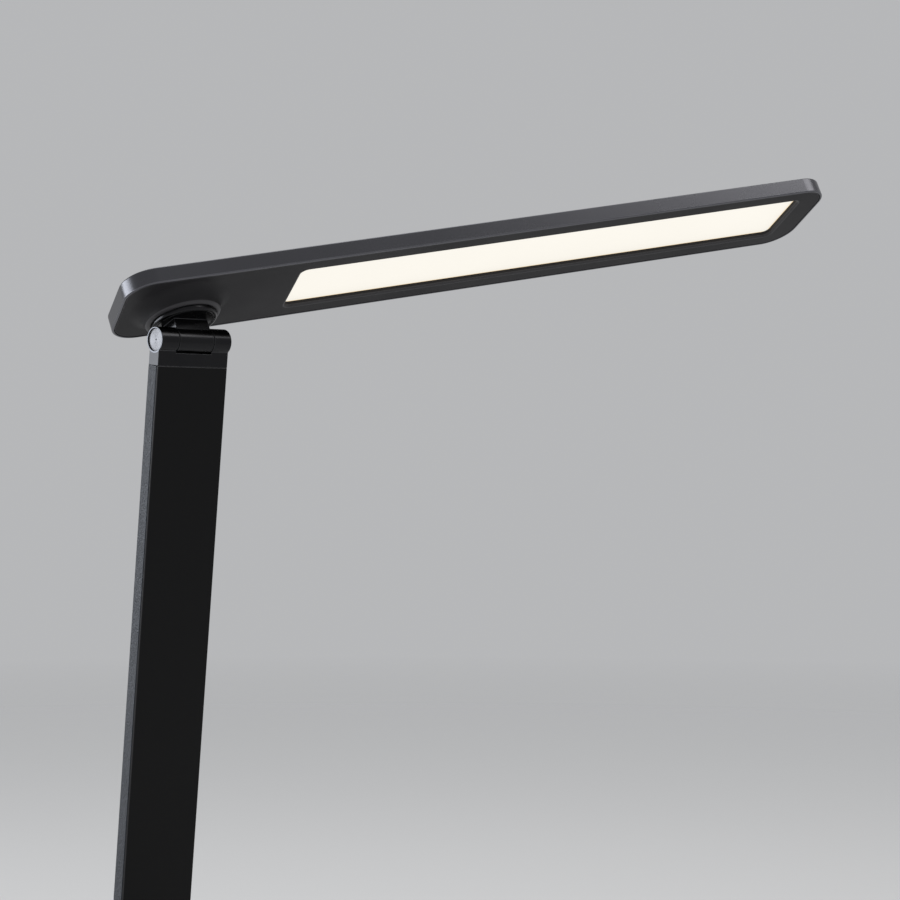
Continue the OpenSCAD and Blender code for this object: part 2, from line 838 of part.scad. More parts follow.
module foam_pad() {
    color(black) in_head()
        translate([window_mid, 0, foam_z])
            slab(window_len, guide_w - 2 * diffuser_lap, 1, roof_z - foam_z);
}

module led_boards() {
    color(lamp_white) in_head() for (side = [0, 180])
        translate([window_mid, 0, reflector_z - strip_h])
            rotate([0, 0, side])
                translate([-strip_l / 2, strip_y, 0])
                    cube([strip_l, strip_t, strip_h]);
}

module led_chips() {
    pitch = strip_l / chip_count;
    color("gold") in_head() for (side = [0, 180], i = [0:chip_count - 1])
        translate([window_mid, 0, guide_z])
            rotate([0, 0, side])
                translate([(i + 0.5) * pitch - strip_l / 2 - chip_l / 2, strip_y - chip_d, 0])
                    cube([chip_l, chip_d, guide_t]);
}

module heat_bars() {
    color(steel) in_head() for (side = [0, 180])
        translate([window_mid, 0, cover_top])
            rotate([0, 0, side])
                translate([-strip_l / 2, strip_y + strip_t, 0])
                    cube([strip_l, heat_bar_t, roof_z - cover_top]);
}

module swivel_plate() {
    color(steel) in_head() translate([0, 0, plate_z])
        difference() {
            cylinder(h = swivel_plate_t, r = swivel_plate_r);
            translate([0, 0, -cut])
                cylinder(h = swivel_plate_t + 2 * cut, r = spigot_r + run_gap);
            plate_screw_places()
                translate([0, 0, -cut])
                    cylinder(h = swivel_plate_t + 2 * cut, r = plate_screw_r + loose_gap);
        }
}

module swivel_screws() {
    length = roof_z - plate_z - loose_gap;
    color(steel) in_head() plate_screw_places()
        translate([0, 0, plate_z - plate_screw_head_t]) {
            cylinder(h = plate_screw_head_t, r = plate_screw_head_r);
            cylinder(h = plate_screw_head_t + length, r = plate_screw_r);
        }
}

module head_ribbon() {
    ribbon_w = 6;
    start_x = spigot_r;
    end_x = window_start - diffuser_lap - loose_gap;
    strip_start = window_start + strip_inset - loose_gap;
    arm_y = guide_w / 2 + loose_gap;
    reach_y = strip_y + strip_t;
    color(copper) in_head() translate([0, 0, roof_z - ribbon_t]) {
        translate([start_x, -ribbon_w / 2, 0])
            cube([end_x - start_x, ribbon_w, ribbon_t]);
        translate([end_x - ribbon_w, -reach_y, 0])
            cube([ribbon_w, 2 * reach_y, ribbon_t]);
        for (side = [0, 1])
            mirror([0, side, 0])
                translate([end_x - cut, arm_y, 0])
                    cube([strip_start - end_x + cut, reach_y - arm_y, ribbon_t]);
    }
}

base_shell();
base_plate();
base_pad();
base_weight();
base_screws();
touch_panel();
touch_board();
touch_ribbon();
power_board();
power_inlet();
base_bracket();
bracket_screws();
base_lead();
arm_channel();
arm_front_plate();
arm_foot();
arm_neck();
arm_screws();
arm_lead();
lower_hinge_pin();
lower_hinge_caps();
lower_hinge_washers();
upper_hinge_pin();
upper_hinge_caps();
upper_hinge_washers();
tilt_bracket();
swivel_washer();
swivel_nut();
head_frame();
head_cover();
diffuser();
light_guide();
reflector_sheet();
foam_pad();
led_boards();
led_chips();
heat_bars();
swivel_plate();
swivel_screws();
head_ribbon();
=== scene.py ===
"""Folding LED desk lamp: casings, hinges, arm, base, finishes and a plain studio.

Everything is in metres, in the frame of the packed model: +Z up, hinge axes along X, front
towards -Y.
"""

import json
import math

import bmesh
import bpy
import numpy as np
from mathutils import Matrix, Vector, geometry


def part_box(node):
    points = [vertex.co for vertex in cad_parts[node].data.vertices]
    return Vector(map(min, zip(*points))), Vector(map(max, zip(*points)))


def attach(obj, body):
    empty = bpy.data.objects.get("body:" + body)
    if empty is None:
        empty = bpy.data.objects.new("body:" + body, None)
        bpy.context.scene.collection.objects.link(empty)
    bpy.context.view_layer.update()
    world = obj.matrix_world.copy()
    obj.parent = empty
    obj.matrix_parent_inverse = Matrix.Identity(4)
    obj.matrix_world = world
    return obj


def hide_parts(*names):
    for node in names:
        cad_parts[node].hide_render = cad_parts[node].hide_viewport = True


bl_info = {
    "name": "Folding LED desk lamp",
    "version": (1, 0, 0),
    "blender": (4, 5, 0),
    "location": "3D View > Sidebar > Lamp",
    "description": "Builds the visible pieces and finishes of a folding LED desk lamp",
    "category": "Object",
}

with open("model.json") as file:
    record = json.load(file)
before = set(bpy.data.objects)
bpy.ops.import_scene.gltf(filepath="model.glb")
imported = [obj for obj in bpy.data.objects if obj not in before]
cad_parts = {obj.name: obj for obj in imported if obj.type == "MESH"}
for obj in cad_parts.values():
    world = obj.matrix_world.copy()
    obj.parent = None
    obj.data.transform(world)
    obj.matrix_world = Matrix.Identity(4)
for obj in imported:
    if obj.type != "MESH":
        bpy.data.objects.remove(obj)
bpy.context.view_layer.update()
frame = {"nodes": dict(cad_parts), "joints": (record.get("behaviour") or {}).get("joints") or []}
JOINTS = {joint["name"]: joint for joint in frame["joints"]}

BARREL_R = 0.006
BARREL_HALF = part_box("arm_neck")[1][0]
WELD = 2e-6  # points closer than this are one point
SMOOTH_ANGLE = math.radians(32)
BEVEL_ANGLE = math.radians(34)
BEVEL_SEGMENTS = 3
FLAT_ANGLE = math.radians(0.3)  # faces that turn less than this are one flat face
ARM_LEAN = 6.3  # degrees that the arm leans forward at rest
CORNER_STEPS = 14
ROUND_STEPS = 6
FLARE_STEPS = 14
BEAD_STEPS = 12
CIRCLE_STEPS = 96
DISH_STEPS = 60
HOLE_STEPS = 48
MARK_STEPS = 40
STRIP_STEPS = 12
FINE_STEPS = 5
LIP_STEPS = 4
FLAKE = 0.00014  # size of the bright flakes in the paint
GLOW_RIM = 0.0012  # width of the panel's warmer rim
FACE_BAND = 0.0001  # depth in which the barrels' end faces turn lighter: bare metal, partly a painted highlight of their rims
DISH_OUTER, DISH_INNER = 0.00008, 0.00005  # gaps between the caps' dish, its rim and its dimple
DIMPLE_STEP = 0.00002  # step from the caps' dish down to the dimple
INLET_EDGE = 0.0001  # round of the inlet socket's edges
STRIP_END = 0.0001  # half of the straight left in each end of the touch strip
PINHOLE = 0.00002  # hole in the middle of the full marks
TOUCH_MARKS = (  # place along the strip, then radius and hole as shares of the mark's size
    (-0.024, 1.0, 0.8), (-0.010, 0.25, 0.0), (-0.005, 0.32, 0.0), (0.0, 0.4, 0.0),
    (0.005, 0.5, 0.0), (0.010, 0.6, 0.0), (0.024, 1.0, 0.8), (0.024, 0.4, 0.0),
)
CAMERA_LENS, CAMERA_SENSOR = 93.63, 36.0  # in millimetres
CAMERA_PLACE = (-0.66069, -0.86684, -0.05050)  # from the upper hinge
CAMERA_TURN = -43.66
AIM = (0.05, 0, -0.05)  # what the lights face, from the upper hinge
SOFTBOXES = (  # name, place, width, height, watts, tint
    ("rear_left_softbox", (-1.30, 1.30, 0.52), 1.5, 0.5, 17.5, (0.92, 0.96, 1.0)),
    ("front_softbox", (1.05, -1.05, 1.75), 1.0, 1.0, 10.0, (1.0, 0.99, 0.97)),
    ("top_softbox", (0.3, 0.3, 2.1), 1.6, 1.6, 18.0, (1.0, 1.0, 1.0)),
)
FLOOR_RINGS = np.array([0.0005, *np.geomspace(0.2, 7.0, 24)])
FLOOR_FADE = (0.7, 3.0)  # distances between which the floor fades into the surroundings


# Places: an origin and three axes, one to a row


def turned(vector, axis, degrees):
    """The vector turned about a unit axis: its part along the axis stays, and the rest turns
    in its plane."""
    v, k, a = np.array(vector, float), np.array(axis, float), math.radians(degrees)
    return v * math.cos(a) + np.cross(k, v) * math.sin(a) + k * np.dot(k, v) * (1 - math.cos(a))


def place_on(joint, up, along):
    """Origin on a joint, z along up, x along the given direction, y square to both."""
    up = np.array(up, float) / np.linalg.norm(up)
    return np.array(JOINTS[joint]["pos_m"], float), np.array([along, np.cross(up, along), up])


def rest_place(piece):
    """Place of the foot, arm, bracket, head or base as the lamp stands at rest."""
    low, high = (np.array(JOINTS[j]["pos_m"], float) for j in ("arm_fold", "head_tilt"))
    normal = np.array(JOINTS["head_swivel"]["axis"], float)
    swivel = math.degrees(bpy.context.scene.lamp_head.swivel)
    along = turned((1, 0, 0), normal, swivel - 90)
    return {
        "foot": (low, np.eye(3)),
        "arm": place_on("arm_fold", high - low, (1, 0, 0)),
        "bracket": place_on("head_tilt", normal, (1, 0, 0)),
        "head": place_on("head_swivel", normal, along),
        "base": (np.zeros(3), np.eye(3)),
    }[piece]


def corners(node):
    """Lowest and highest corner of a CAD node at rest."""
    return np.array(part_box(node))


def local_points(mesh, place):
    """The mesh's points along the axes of a place."""
    origin, axes = place
    points = np.empty(len(mesh.vertices) * 3, np.float32)
    mesh.vertices.foreach_get("co", points)
    return (points.reshape(-1, 3) - origin) @ axes.T


def extent(node, place):
    """Lowest and highest corner of a CAD node along the axes of a place."""
    local = local_points(frame["nodes"][node].data, place)
    return local.min(axis=0), local.max(axis=0)


# Profiles and paths


def arc(centre, radius, start, end, steps=ROUND_STEPS):
    """Points centre + radius * (cos a, sin a), with a going from start to end in degrees."""
    a = np.radians(np.linspace(start, end, steps + 1))
    return np.column_stack([centre[0] + radius * np.cos(a), centre[1] + radius * np.sin(a)])


def rounded_path(length, width, radius, steps=CORNER_STEPS):
    """Rounded rectangle: corner centres plus radius times an outward direction that turns once
    round."""
    quarter = np.radians(np.linspace(0, 90, steps + 1))
    turn = np.concatenate([quarter + k * math.pi / 2 for k in range(4)])
    out = np.column_stack([np.cos(turn), np.sin(turn)])
    signs = np.repeat([[1, 1], [-1, 1], [-1, -1], [1, -1]], steps + 1, axis=0)
    centres = signs * [length / 2 - radius, width / 2 - radius]
    return centres + radius * out, out


def round_path(steps=CIRCLE_STEPS):
    """A path of no size whose outward direction turns once round, so that offsets are radii."""
    turn = np.arange(steps) * 2 * math.pi / steps
    return np.zeros((steps, 2)), np.column_stack([np.cos(turn), np.sin(turn)])


def carried(profile, path, middle=(0.0, 0.0)):
    """Grid of middle + path + offset * outward at a height, for each (offset, height) of the
    profile."""
    points, out = path
    flat = np.array(middle) + points[None] + profile[:, None, :1] * out[None]
    height = np.broadcast_to(profile[:, None, 1:], flat.shape[:2] + (1,))
    return np.concatenate([flat, height], axis=2)


def offset_loop(path, offset, middle=(0.0, 0.0)):
    """The closed path moved out by an offset and set round a middle point."""
    points, out = path
    return np.array(middle) + points + offset * out


def inside(points, loop):
    """Which points lie in a closed loop: those whose ray along x crosses it an odd number of
    times."""
    (x, y), (x0, y0) = points.T[:, :, None], loop.T[:, None, :]
    x1, y1 = np.roll(x0, -1, axis=1), np.roll(y0, -1, axis=1)
    spans = (y0 > y) != (y1 > y)
    rise = np.where(spans, y1 - y0, 1.0)
    return np.count_nonzero(spans & (x < (x1 - x0) * (y - y0) / rise + x0), axis=1) % 2 == 1


def level(height):
    """Puts flat (x, y) points at a height."""
    return lambda flat: np.column_stack([flat, np.full(len(flat), height)])


def upright(y):
    """Puts flat (x, z) points in the plane of one y."""
    return lambda flat: np.column_stack([flat[:, 0], np.full(len(flat), y), flat[:, 1]])


class Surface:
    """Grids and flat fills that share their border points and are welded into one closed mesh."""

    def __init__(self):
        self.points, self.faces, self.slots, self.count = [], [], [], 0

    def add(self, points, faces, slots=None):
        self.points.append(points)
        self.faces += (np.asarray(faces) + self.count).tolist()
        self.slots += [0] * len(faces) if slots is None else slots.tolist()
        self.count += len(points)

    def grid(self, grid, skip=None, edges=()):
        """Quads between neighbouring rows of a (rows, round, 3) grid, closed round each row.
        skip names (row, first column) of quads that are left out for a fill, and edges the
        (first, last) rows between which the quads take the edge finish: a lighter copy that paints
        a highlight on them."""
        rows, around = grid.shape[:2]
        index = np.arange(rows * around).reshape(rows, around)
        right = np.roll(index, -1, axis=1)
        quads = np.stack([index[:-1], right[:-1], right[1:], index[1:]], axis=2)
        keep = np.ones(quads.shape[:2], bool)
        if skip is not None:
            keep[tuple(np.array(skip).T)] = False
        slots = np.zeros(quads.shape[:2], int)
        for first, last in edges:
            slots[first:last] = 1
        self.add(grid.reshape(-1, 3), quads[keep], slots[keep])

    def fill(self, outer, holes, lift):
        """Flat triangles between an outer loop and its holes, put into their plane by lift."""
        loops = [outer, *holes]
        starts = np.cumsum([0] + [len(loop) for loop in loops])
        edges = np.concatenate([
            np.column_stack([np.arange(len(loop)), np.roll(np.arange(len(loop)), -1)]) + start
            for loop, start in zip(loops, starts)
        ])
        scale = 1000.0  # the triangulation works better in millimetres
        flat = np.concatenate(loops) * scale
        made = geometry.delaunay_2d_cdt([Vector(p) for p in flat], edges.tolist(), [], 0, 1e-5)
        points, faces = np.array(made[0]) / scale, np.array(made[2])
        middles = points[faces].mean(axis=1)
        keep = inside(middles, outer)
        for hole in holes:
            keep &= ~inside(middles, hole)
        self.add(lift(points), faces[keep])

    def pole(self, ring):
        """Triangles from a closed ring of points to its middle."""
        around = np.arange(len(ring))
        faces = np.column_stack([around, np.roll(around, -1), np.full(len(ring), len(ring))])
        self.add(np.vstack([ring, ring.mean(axis=0)]), faces)

    def mesh(self, name, place):
        """One welded mesh in the lamp's frame, its faces turned outward."""
        origin, axes = place
        mesh = bpy.data.meshes.new(name)
        mesh.from_pydata((origin + np.concatenate(self.points) @ axes).tolist(), [], self.faces)
        mesh.polygons.foreach_set("material_index", self.slots)
        weld(mesh)
        return mesh

    def piece(self, name, place, body, slot, key, *nodes, edges=False):
        """An object of the mesh, in its finish and in place of its CAD nodes. With edges, the
        marked rows take the lighter edge finish, which paints a highlight on them.
        """
        mesh, edge = self.mesh(name, place), look(key + "_edge") if edges else None
        return finished(name, mesh, body, look(key), nodes, painted_highlight_material=edge)


def weld(mesh, flatten=False):
    """Merges doubles, drops leftovers and turns the faces outward. flatten joins triangles that
    lie in one plane."""
    made = bmesh.new()
    made.from_mesh(mesh)
    bmesh.ops.remove_doubles(made, verts=made.verts, dist=WELD)
    bmesh.ops.dissolve_degenerate(made, edges=made.edges, dist=WELD / 4)
    if flatten:
        bmesh.ops.dissolve_limit(
            made, angle_limit=FLAT_ANGLE, verts=made.verts, edges=made.edges
        )
    bmesh.ops.recalc_face_normals(made, faces=made.faces)
    made.to_mesh(mesh)
    made.free()
    mesh.shade_smooth()
    mesh.set_sharp_from_angle(angle=SMOOTH_ANGLE)


def finished(name, mesh, body, material, replaces=(), bevel=0.0, painted_highlight_material=None):
    """An object for the mesh: on its body, in its finish, in place of its CAD nodes. The rounded
    edges take the edge finish, a lighter copy of the finish that paints a highlight along them."""
    piece = bpy.data.objects.new(name, mesh)
    bpy.context.scene.collection.objects.link(piece)
    slots = np.zeros(len(mesh.polygons), np.int32)
    mesh.polygons.foreach_get("material_index", slots)
    mesh.materials.clear()
    mesh.materials.append(material)
    # second slot: the lighter edge finish, a painted highlight on the rounded edges
    if painted_highlight_material:
        mesh.materials.append(painted_highlight_material)
        mesh.polygons.foreach_set("material_index", slots)
    if bevel:
        edge = piece.modifiers.new("rounded_edges", "BEVEL")
        edge.width = bevel
        edge.segments = BEVEL_SEGMENTS
        edge.limit_method = "ANGLE"
        edge.angle_limit = BEVEL_ANGLE
        edge.use_clamp_overlap = False
        edge.harden_normals = True
        # the bevel's rounds take the lighter edge finish: a painted highlight along them
        edge.material = 1 if painted_highlight_material else 0
    even = piece.modifiers.new("even_shading", "WEIGHTED_NORMAL")
    even.keep_sharp = True
    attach(piece, body)
    if replaces:
        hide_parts(*replaces)
    return piece


def rounded_copy(node, name, body, key, bevel):
    """A copy of a CAD node with its level triangles joined and its sharp edges rounded."""
    mesh = frame["nodes"][node].data.copy()
    mesh.name = name
    weld(mesh, flatten=True)
    mesh.polygons.foreach_set("material_index", [0] * len(mesh.polygons))
    material = look(key)
    # the bevel's rounds take the lighter edge finish, where there is one: a painted highlight
    return finished(name, mesh, body, material, (node,), bevel, FINISHES.get(key + "_edge"))


# Finishes


def add_node(tree, kind, inputs=None, **settings):
    """A shader node with its settings, and inputs that are values or other nodes' outputs."""
    node = tree.nodes.new("ShaderNode" + kind)
    for key, value in settings.items():
        setattr(node, key, value)
    for key, value in (inputs or {}).items():
        if isinstance(value, bpy.types.NodeSocket):
            tree.links.new(value, node.inputs[key])
        else:
            node.inputs[key].default_value = value
    return node


def object_place(tree):
    """Object coordinates, which the materials' patterns follow."""
    return add_node(tree, "TexCoord").outputs["Object"]


def maths(tree, operation, first, second=0.0):
    """Output of a Math node."""
    inputs = {0: first, 1: second}
    return add_node(tree, "Math", inputs, operation=operation).outputs[0]


def blended(tree, factor, first, second, blend_type="MIX"):
    """Colour from a Mix node. Each of its three inputs is an output or a value."""
    inputs = {0: factor, 6: first, 7: second}
    node = add_node(tree, "Mix", inputs, data_type="RGBA", blend_type=blend_type)
    return node.outputs[2]


def ramp(tree, factor, low, high, start=0.0, end=1.0):
    """Colour that goes from low to high as the factor goes from start to end."""
    node = add_node(tree, "ValToRGB", {"Fac": factor})
    first, last = node.color_ramp.elements
    first.position, last.position = start, end
    first.color, last.color = (*low, 1), (*high, 1)
    return node.outputs["Color"]


def ranged(tree, value, low, high, start=0.3, end=0.7):
    """Value mapped from start..end to low..high."""
    inputs = {"Value": value, "From Min": start, "From Max": end, "To Min": low, "To Max": high}
    return add_node(tree, "MapRange", inputs).outputs["Result"]


def noise(tree, vector, size, detail=3.0, roughness=0.55):
    """Noise with features of about the given size in metres."""
    inputs = {"Vector": vector, "Scale": 1 / size, "Detail": detail, "Roughness": roughness}
    return add_node(tree, "TexNoise", inputs).outputs["Fac"]


def scaled(colour, factor):
    return tuple(min(1.0, channel * factor) for channel in colour)


def on_barrel_ends(tree, place):
    """1 on the barrels' end faces: where |x| reaches their ends and the distance from the nearer
    hinge axis, the root of dy^2 + dz^2, is under the barrel's radius. 0 elsewhere."""
    parts = add_node(tree, "SeparateXYZ", {"Vector": place}).outputs
    flat = add_node(tree, "CombineXYZ", {"Y": parts["Y"], "Z": parts["Z"]}).outputs[0]
    reach = []
    for joint in ("arm_fold", "head_tilt"):
        inputs = {0: flat, 1: (0, *JOINTS[joint]["pos_m"][1:])}
        node = add_node(tree, "VectorMath", inputs, operation="DISTANCE")
        reach.append(node.outputs["Value"])
    near = maths(tree, "MINIMUM", *reach)
    side = maths(tree, "ABSOLUTE", parts["X"])
    at_end = ranged(tree, side, 0.0, 1.0, BARREL_HALF - 2 * FACE_BAND,
                    BARREL_HALF - FACE_BAND)
    on_face = ranged(tree, near, 1.0, 0.0, BARREL_R, BARREL_R + FACE_BAND)
    return maths(tree, "MULTIPLY", at_end, on_face)


def finish(name, colour, roughness, metallic=0.0, patch=0.03, spread=0.08, gloss_spread=0.05,
           grain=0.0004, depth=0.00002, stretch=(1, 1, 1), turn=(0, 0, 0), cells=False,
           speckle=0.0, bare_face_and_highlight=None, **sockets):
    """A surface finish from Object coordinates. patch: size of the slow colour drift, spread: its
    strength. grain and depth: size and height of the fine relief, stretched by 1 / stretch after
    turn. cells: leather-like cells in the relief. speckle: strength of fine bright flakes.
    Barrel ends: lighter colour on the end faces of both hinge barrels, bare machined metal and
    partly a painted highlight on their rounded rims."""
    material = bpy.data.materials.new(name)
    material.use_nodes = True
    tree = material.node_tree
    shader = tree.nodes["Principled BSDF"]
    place = object_place(tree)
    inputs = {"Vector": place, "Rotation": tuple(math.radians(a) for a in turn)}
    level_place = add_node(tree, "Mapping", inputs).outputs["Vector"]
    inputs = {"Vector": level_place, "Scale": stretch}
    fine_place = add_node(tree, "Mapping", inputs).outputs["Vector"]
    drift = noise(tree, place, patch, 4.0)
    fine = noise(tree, fine_place, grain, 4.0, 0.6)
    mixed = maths(tree, "ADD", drift, fine)
    shade = ramp(tree, mixed, scaled(colour, 1 - spread), scaled(colour, 1 + spread), 0.35, 1.0)
    relief = fine
    if cells:
        inputs = {"Vector": fine_place, "Scale": 0.7 / grain, "Randomness": 1.0}
        cell = add_node(tree, "TexVoronoi", inputs, feature="SMOOTH_F1")
        relief = maths(tree, "ADD", cell.outputs["Distance"], fine)
        dark, light = scaled(colour, 1 - 3 * spread), scaled(colour, 1 + 2 * spread)
        shade = ramp(tree, relief, light, dark, 0.45, 1.25)
    if speckle:
        inputs = {"Vector": place, "Scale": 1 / FLAKE}
        flake = add_node(tree, "TexVoronoi", inputs).outputs["Color"]
        grey = add_node(tree, "RGBToBW", {"Color": flake}).outputs["Val"]
        lift = ramp(tree, grey, (0, 0, 0), (speckle,) * 3, 0.7, 0.95)
        shade = blended(tree, 1.0, shade, lift, "ADD")
    # barrel end faces turn lighter: bare metal, partly a painted highlight of the rounded rims
    if bare_face_and_highlight:
        shade = blended(tree, on_barrel_ends(tree, place), shade, (*bare_face_and_highlight, 1))
    tree.links.new(shade, shader.inputs["Base Color"])
    gloss = ranged(tree, drift, roughness - gloss_spread, roughness + gloss_spread)
    tree.links.new(gloss, shader.inputs["Roughness"])
    bump = add_node(tree, "Bump", {"Height": relief, "Strength": 1.0, "Distance": depth})
    tree.links.new(bump.outputs["Normal"], shader.inputs["Normal"])
    shader.inputs["Metallic"].default_value = metallic
    for socket, value in sockets.items():
        shader.inputs[socket.replace("_", " ")].default_value = value
    material.diffuse_color = (*colour, 1)
    return material


def glowing(name, colour, rim_colour, strength, place, half_size):
    """Lit opal panel: an even glow that turns warmer in a narrow rim, where the wall shades it.
    The rim is found from Object coordinates, centred and turned onto the panel."""
    origin, axes = place
    material = finish(name, scaled(colour, 0.12), 0.5, patch=0.05, spread=0.02, grain=0.0006,
                      depth=0.000004)
    tree = material.node_tree
    shader = tree.nodes["Principled BSDF"]
    turn = Matrix([[float(v) for v in row] for row in axes]).transposed().to_euler("XYZ")
    inputs = {
        "Vector": object_place(tree),
        "Location": tuple(origin),
        "Rotation": tuple(turn),
    }
    local = add_node(tree, "Mapping", inputs, vector_type="TEXTURE").outputs["Vector"]
    parts = add_node(tree, "SeparateXYZ", {"Vector": local}).outputs
    edges = []
    for axis, half in zip("XY", half_size):
        far = maths(tree, "ABSOLUTE", parts[axis])
        edges.append(ranged(tree, far, 0.0, 1.0, half - GLOW_RIM, half))
    curve = maths(tree, "POWER", maths(tree, "MAXIMUM", *edges), 2.0)
    slow = noise(tree, local, 0.12, 2.0)
    near = ramp(tree, slow, scaled(colour, 0.97), colour, 0.3, 0.7)
    glow = blended(tree, curve, near, (*rim_colour, 1))
    tree.links.new(glow, shader.inputs["Emission Color"])
    shader.inputs["Emission Strength"].default_value = strength
    return material


def lengthwise(mesh, place):
    """UV map with u round the piece's own x axis and v along its radius, for turned metal."""
    local = local_points(mesh, place)
    corner = np.empty(len(mesh.loops), np.int32)
    mesh.loops.foreach_get("vertex_index", corner)
    sizes = np.empty(len(mesh.polygons), np.int32)
    mesh.polygons.foreach_get("loop_total", sizes)
    face = np.repeat(np.arange(len(sizes)), sizes)
    y, z = local[corner, 1], local[corner, 2]
    middle_y = np.bincount(face, y) / sizes
    middle_z = np.bincount(face, z) / sizes
    middle = np.arctan2(middle_z, middle_y)[face]
    swing = np.arctan2(z, y) - middle
    angle = middle + (swing + math.pi) % (2 * math.pi) - math.pi
    layer = mesh.uv_layers.new(name="turned")
    layer.data.foreach_set("uv", np.column_stack([angle, np.hypot(y, z) * 100]).ravel())


def length(name, description, default):
    """A size in metres, as a property."""
    return bpy.props.FloatProperty(
        name=name, description=description, default=default, min=0.0, precision=5,
        unit="LENGTH", subtype="DISTANCE",
    )


def colour(name, description, default):
    """A colour as it renders, as a property."""
    return bpy.props.FloatVectorProperty(
        name=name, description=description, default=default, size=3, min=0.0, max=1.0,
        subtype="COLOR",
    )


class LampHead(bpy.types.PropertyGroup):
    """Sizes of the light bar."""

    swivel: bpy.props.FloatProperty(
        name="Swivel at rest", description="Turn of the head from straight ahead",
        default=math.radians(67.5), unit="ROTATION", subtype="ANGLE",
    )
    corner: length("Corner radius", "Corner radius of the head seen from above", 0.015)
    edge: length("Lower edge", "Round of the side band's lower edge", 0.0007)
    top_edge: length("Top edge", "Round between the side band and the top", 0.0007)
    wall: length("Wall", "Thickness of the side wall", 0.0012)
    roof: length("Top wall", "Thickness of the top", 0.001)
    rim: length("Rim round", "Round at the inside of the side wall's rim", 0.00025)
    groove: length("Groove", "Groove between the underside cover and the casing", 0.0003)
    sink: length("Cover depth", "Depth of the cover below the rim", 0.00015)
    cover: length("Cover thickness", "Thickness of the underside cover", 0.0012)
    cover_edge: length("Cover edge", "Round of the cover's outer edge", 0.0003)
    lap: length("Diffuser overlap", "Overlap of the diffuser behind the window", 0.003)
    window_corner: length("Window corner", "Corner radius of the window", 0.0035)
    window_lip: length("Window lip", "Round of the window's edge", 0.0012)
    window_wall: length("Window wall", "Wall of the flange round the window", 0.001)
    ring: length("Collar radius", "Outer radius of the collar's ring", 0.0182)
    bead: length("Collar bead", "Radius of the ring's round section", 0.002)
    flare: length("Flare radius", "Radius where the collar's flare starts", 0.025)
    seat: length("Seat radius", "Radius of the seat for the swivel disc", 0.016)
    seat_depth: length("Seat depth", "Depth of the seat inside the ring", 0.0003)
    hollow: length("Hollow radius", "Outer radius of the hollow in the collar", 0.0143)
    hub: length("Hub radius", "Radius of the hub round the boss", 0.009)
    bore: length("Bore radius", "Radius of the hole for the boss", 0.0073)
    floor: length("Collar floor", "Floor of the hollow in the collar", 0.0015)


class LampHinge(bpy.types.PropertyGroup):
    """Sizes of the hinges and the arm."""

    casting_edge: length("Casting edge", "Round of the hinge castings' edges", 0.00028)
    plate_edge: length("Front plate edge", "Round of the front plate's edges", 0.0003)
    channel_edge: length("Channel edge", "Round of the channel's cut edges", 0.00015)
    cap: length("Cap radius", "Radius of the turned end caps", 0.00514)
    cap_seat: length("Cap seat", "Depth of the caps' seats", 0.0022)
    cap_sink: length("Cap depth", "Depth of the caps' faces in the barrel", 0.0006)
    cap_edge: length("Cap edge", "Round of the caps' edges", 0.00015)
    cap_rim: length("Cap rim", "Width of the flat rim round the caps' dish", 0.00052)
    dish: length("Cap dish", "Depth of the caps' dished faces", 0.00018)
    dish_step: length("Dish step", "Step from the caps' rim down to the dish", 0.00003)
    groove: length("Turning mark", "Height of the turning marks", 0.000006)
    pitch: length("Turning pitch", "Distance between the turning marks", 0.00022)
    dimple: length("Centre dimple", "Radius of the dimple in the caps' centres", 0.0004)
    screw: length("Screw radius", "Head radius of the arm screws", 0.0023)
    shank: length("Shank radius", "Radius of the screws' shanks", 0.00125)
    cone: length("Screw cone", "Depth of the screws' countersunk heads", 0.0012)
    socket: length("Socket width", "Width of the screws' six-sided sockets", 0.002)
    socket_depth: length("Socket depth", "Depth of the screws' sockets", 0.0009)
    screw_edge: length("Screw edge", "Bevel of the screws' edges", 0.00008)


class LampBase(bpy.types.PropertyGroup):
    """Sizes of the base."""

    corner: length("Corner radius", "Corner radius of the base seen from above", 0.02)
    edge: length("Top edge", "Round of the base's top edge", 0.0008)
    foot_edge: length("Foot edge", "Round of the base's lower edge", 0.0003)
    foot_bevel: length("Inner foot edge", "Bevel of the lower edge's inside", 0.0002)
    wall: length("Wall", "Side wall of the base", 0.0022)
    top: length("Top wall", "Top wall of the base", 0.0025)
    touch_gap: length("Touch gap", "Gap round the touch strip", 0.0001)
    touch_edge: length("Touch edge", "Round of the touch strip's edge", 0.00025)
    lip: length("Recess lip", "Round of the recess for the touch strip", 0.00025)
    inlet: length("Inlet hole", "Radius of the hole for the power inlet", 0.004)
    inlet_x: length("Inlet place", "Distance of the inlet from the middle", 0.012)
    inlet_z: length("Inlet height", "Height of the inlet's axis", 0.0082)
    wire_way: length("Wire way", "Radius of the wire way", 0.0019)
    mark: length("Touch mark", "Size of the marks on the touch strip", 0.0022)
    mark_height: length("Print height", "Height of the marks' print", 0.00004)


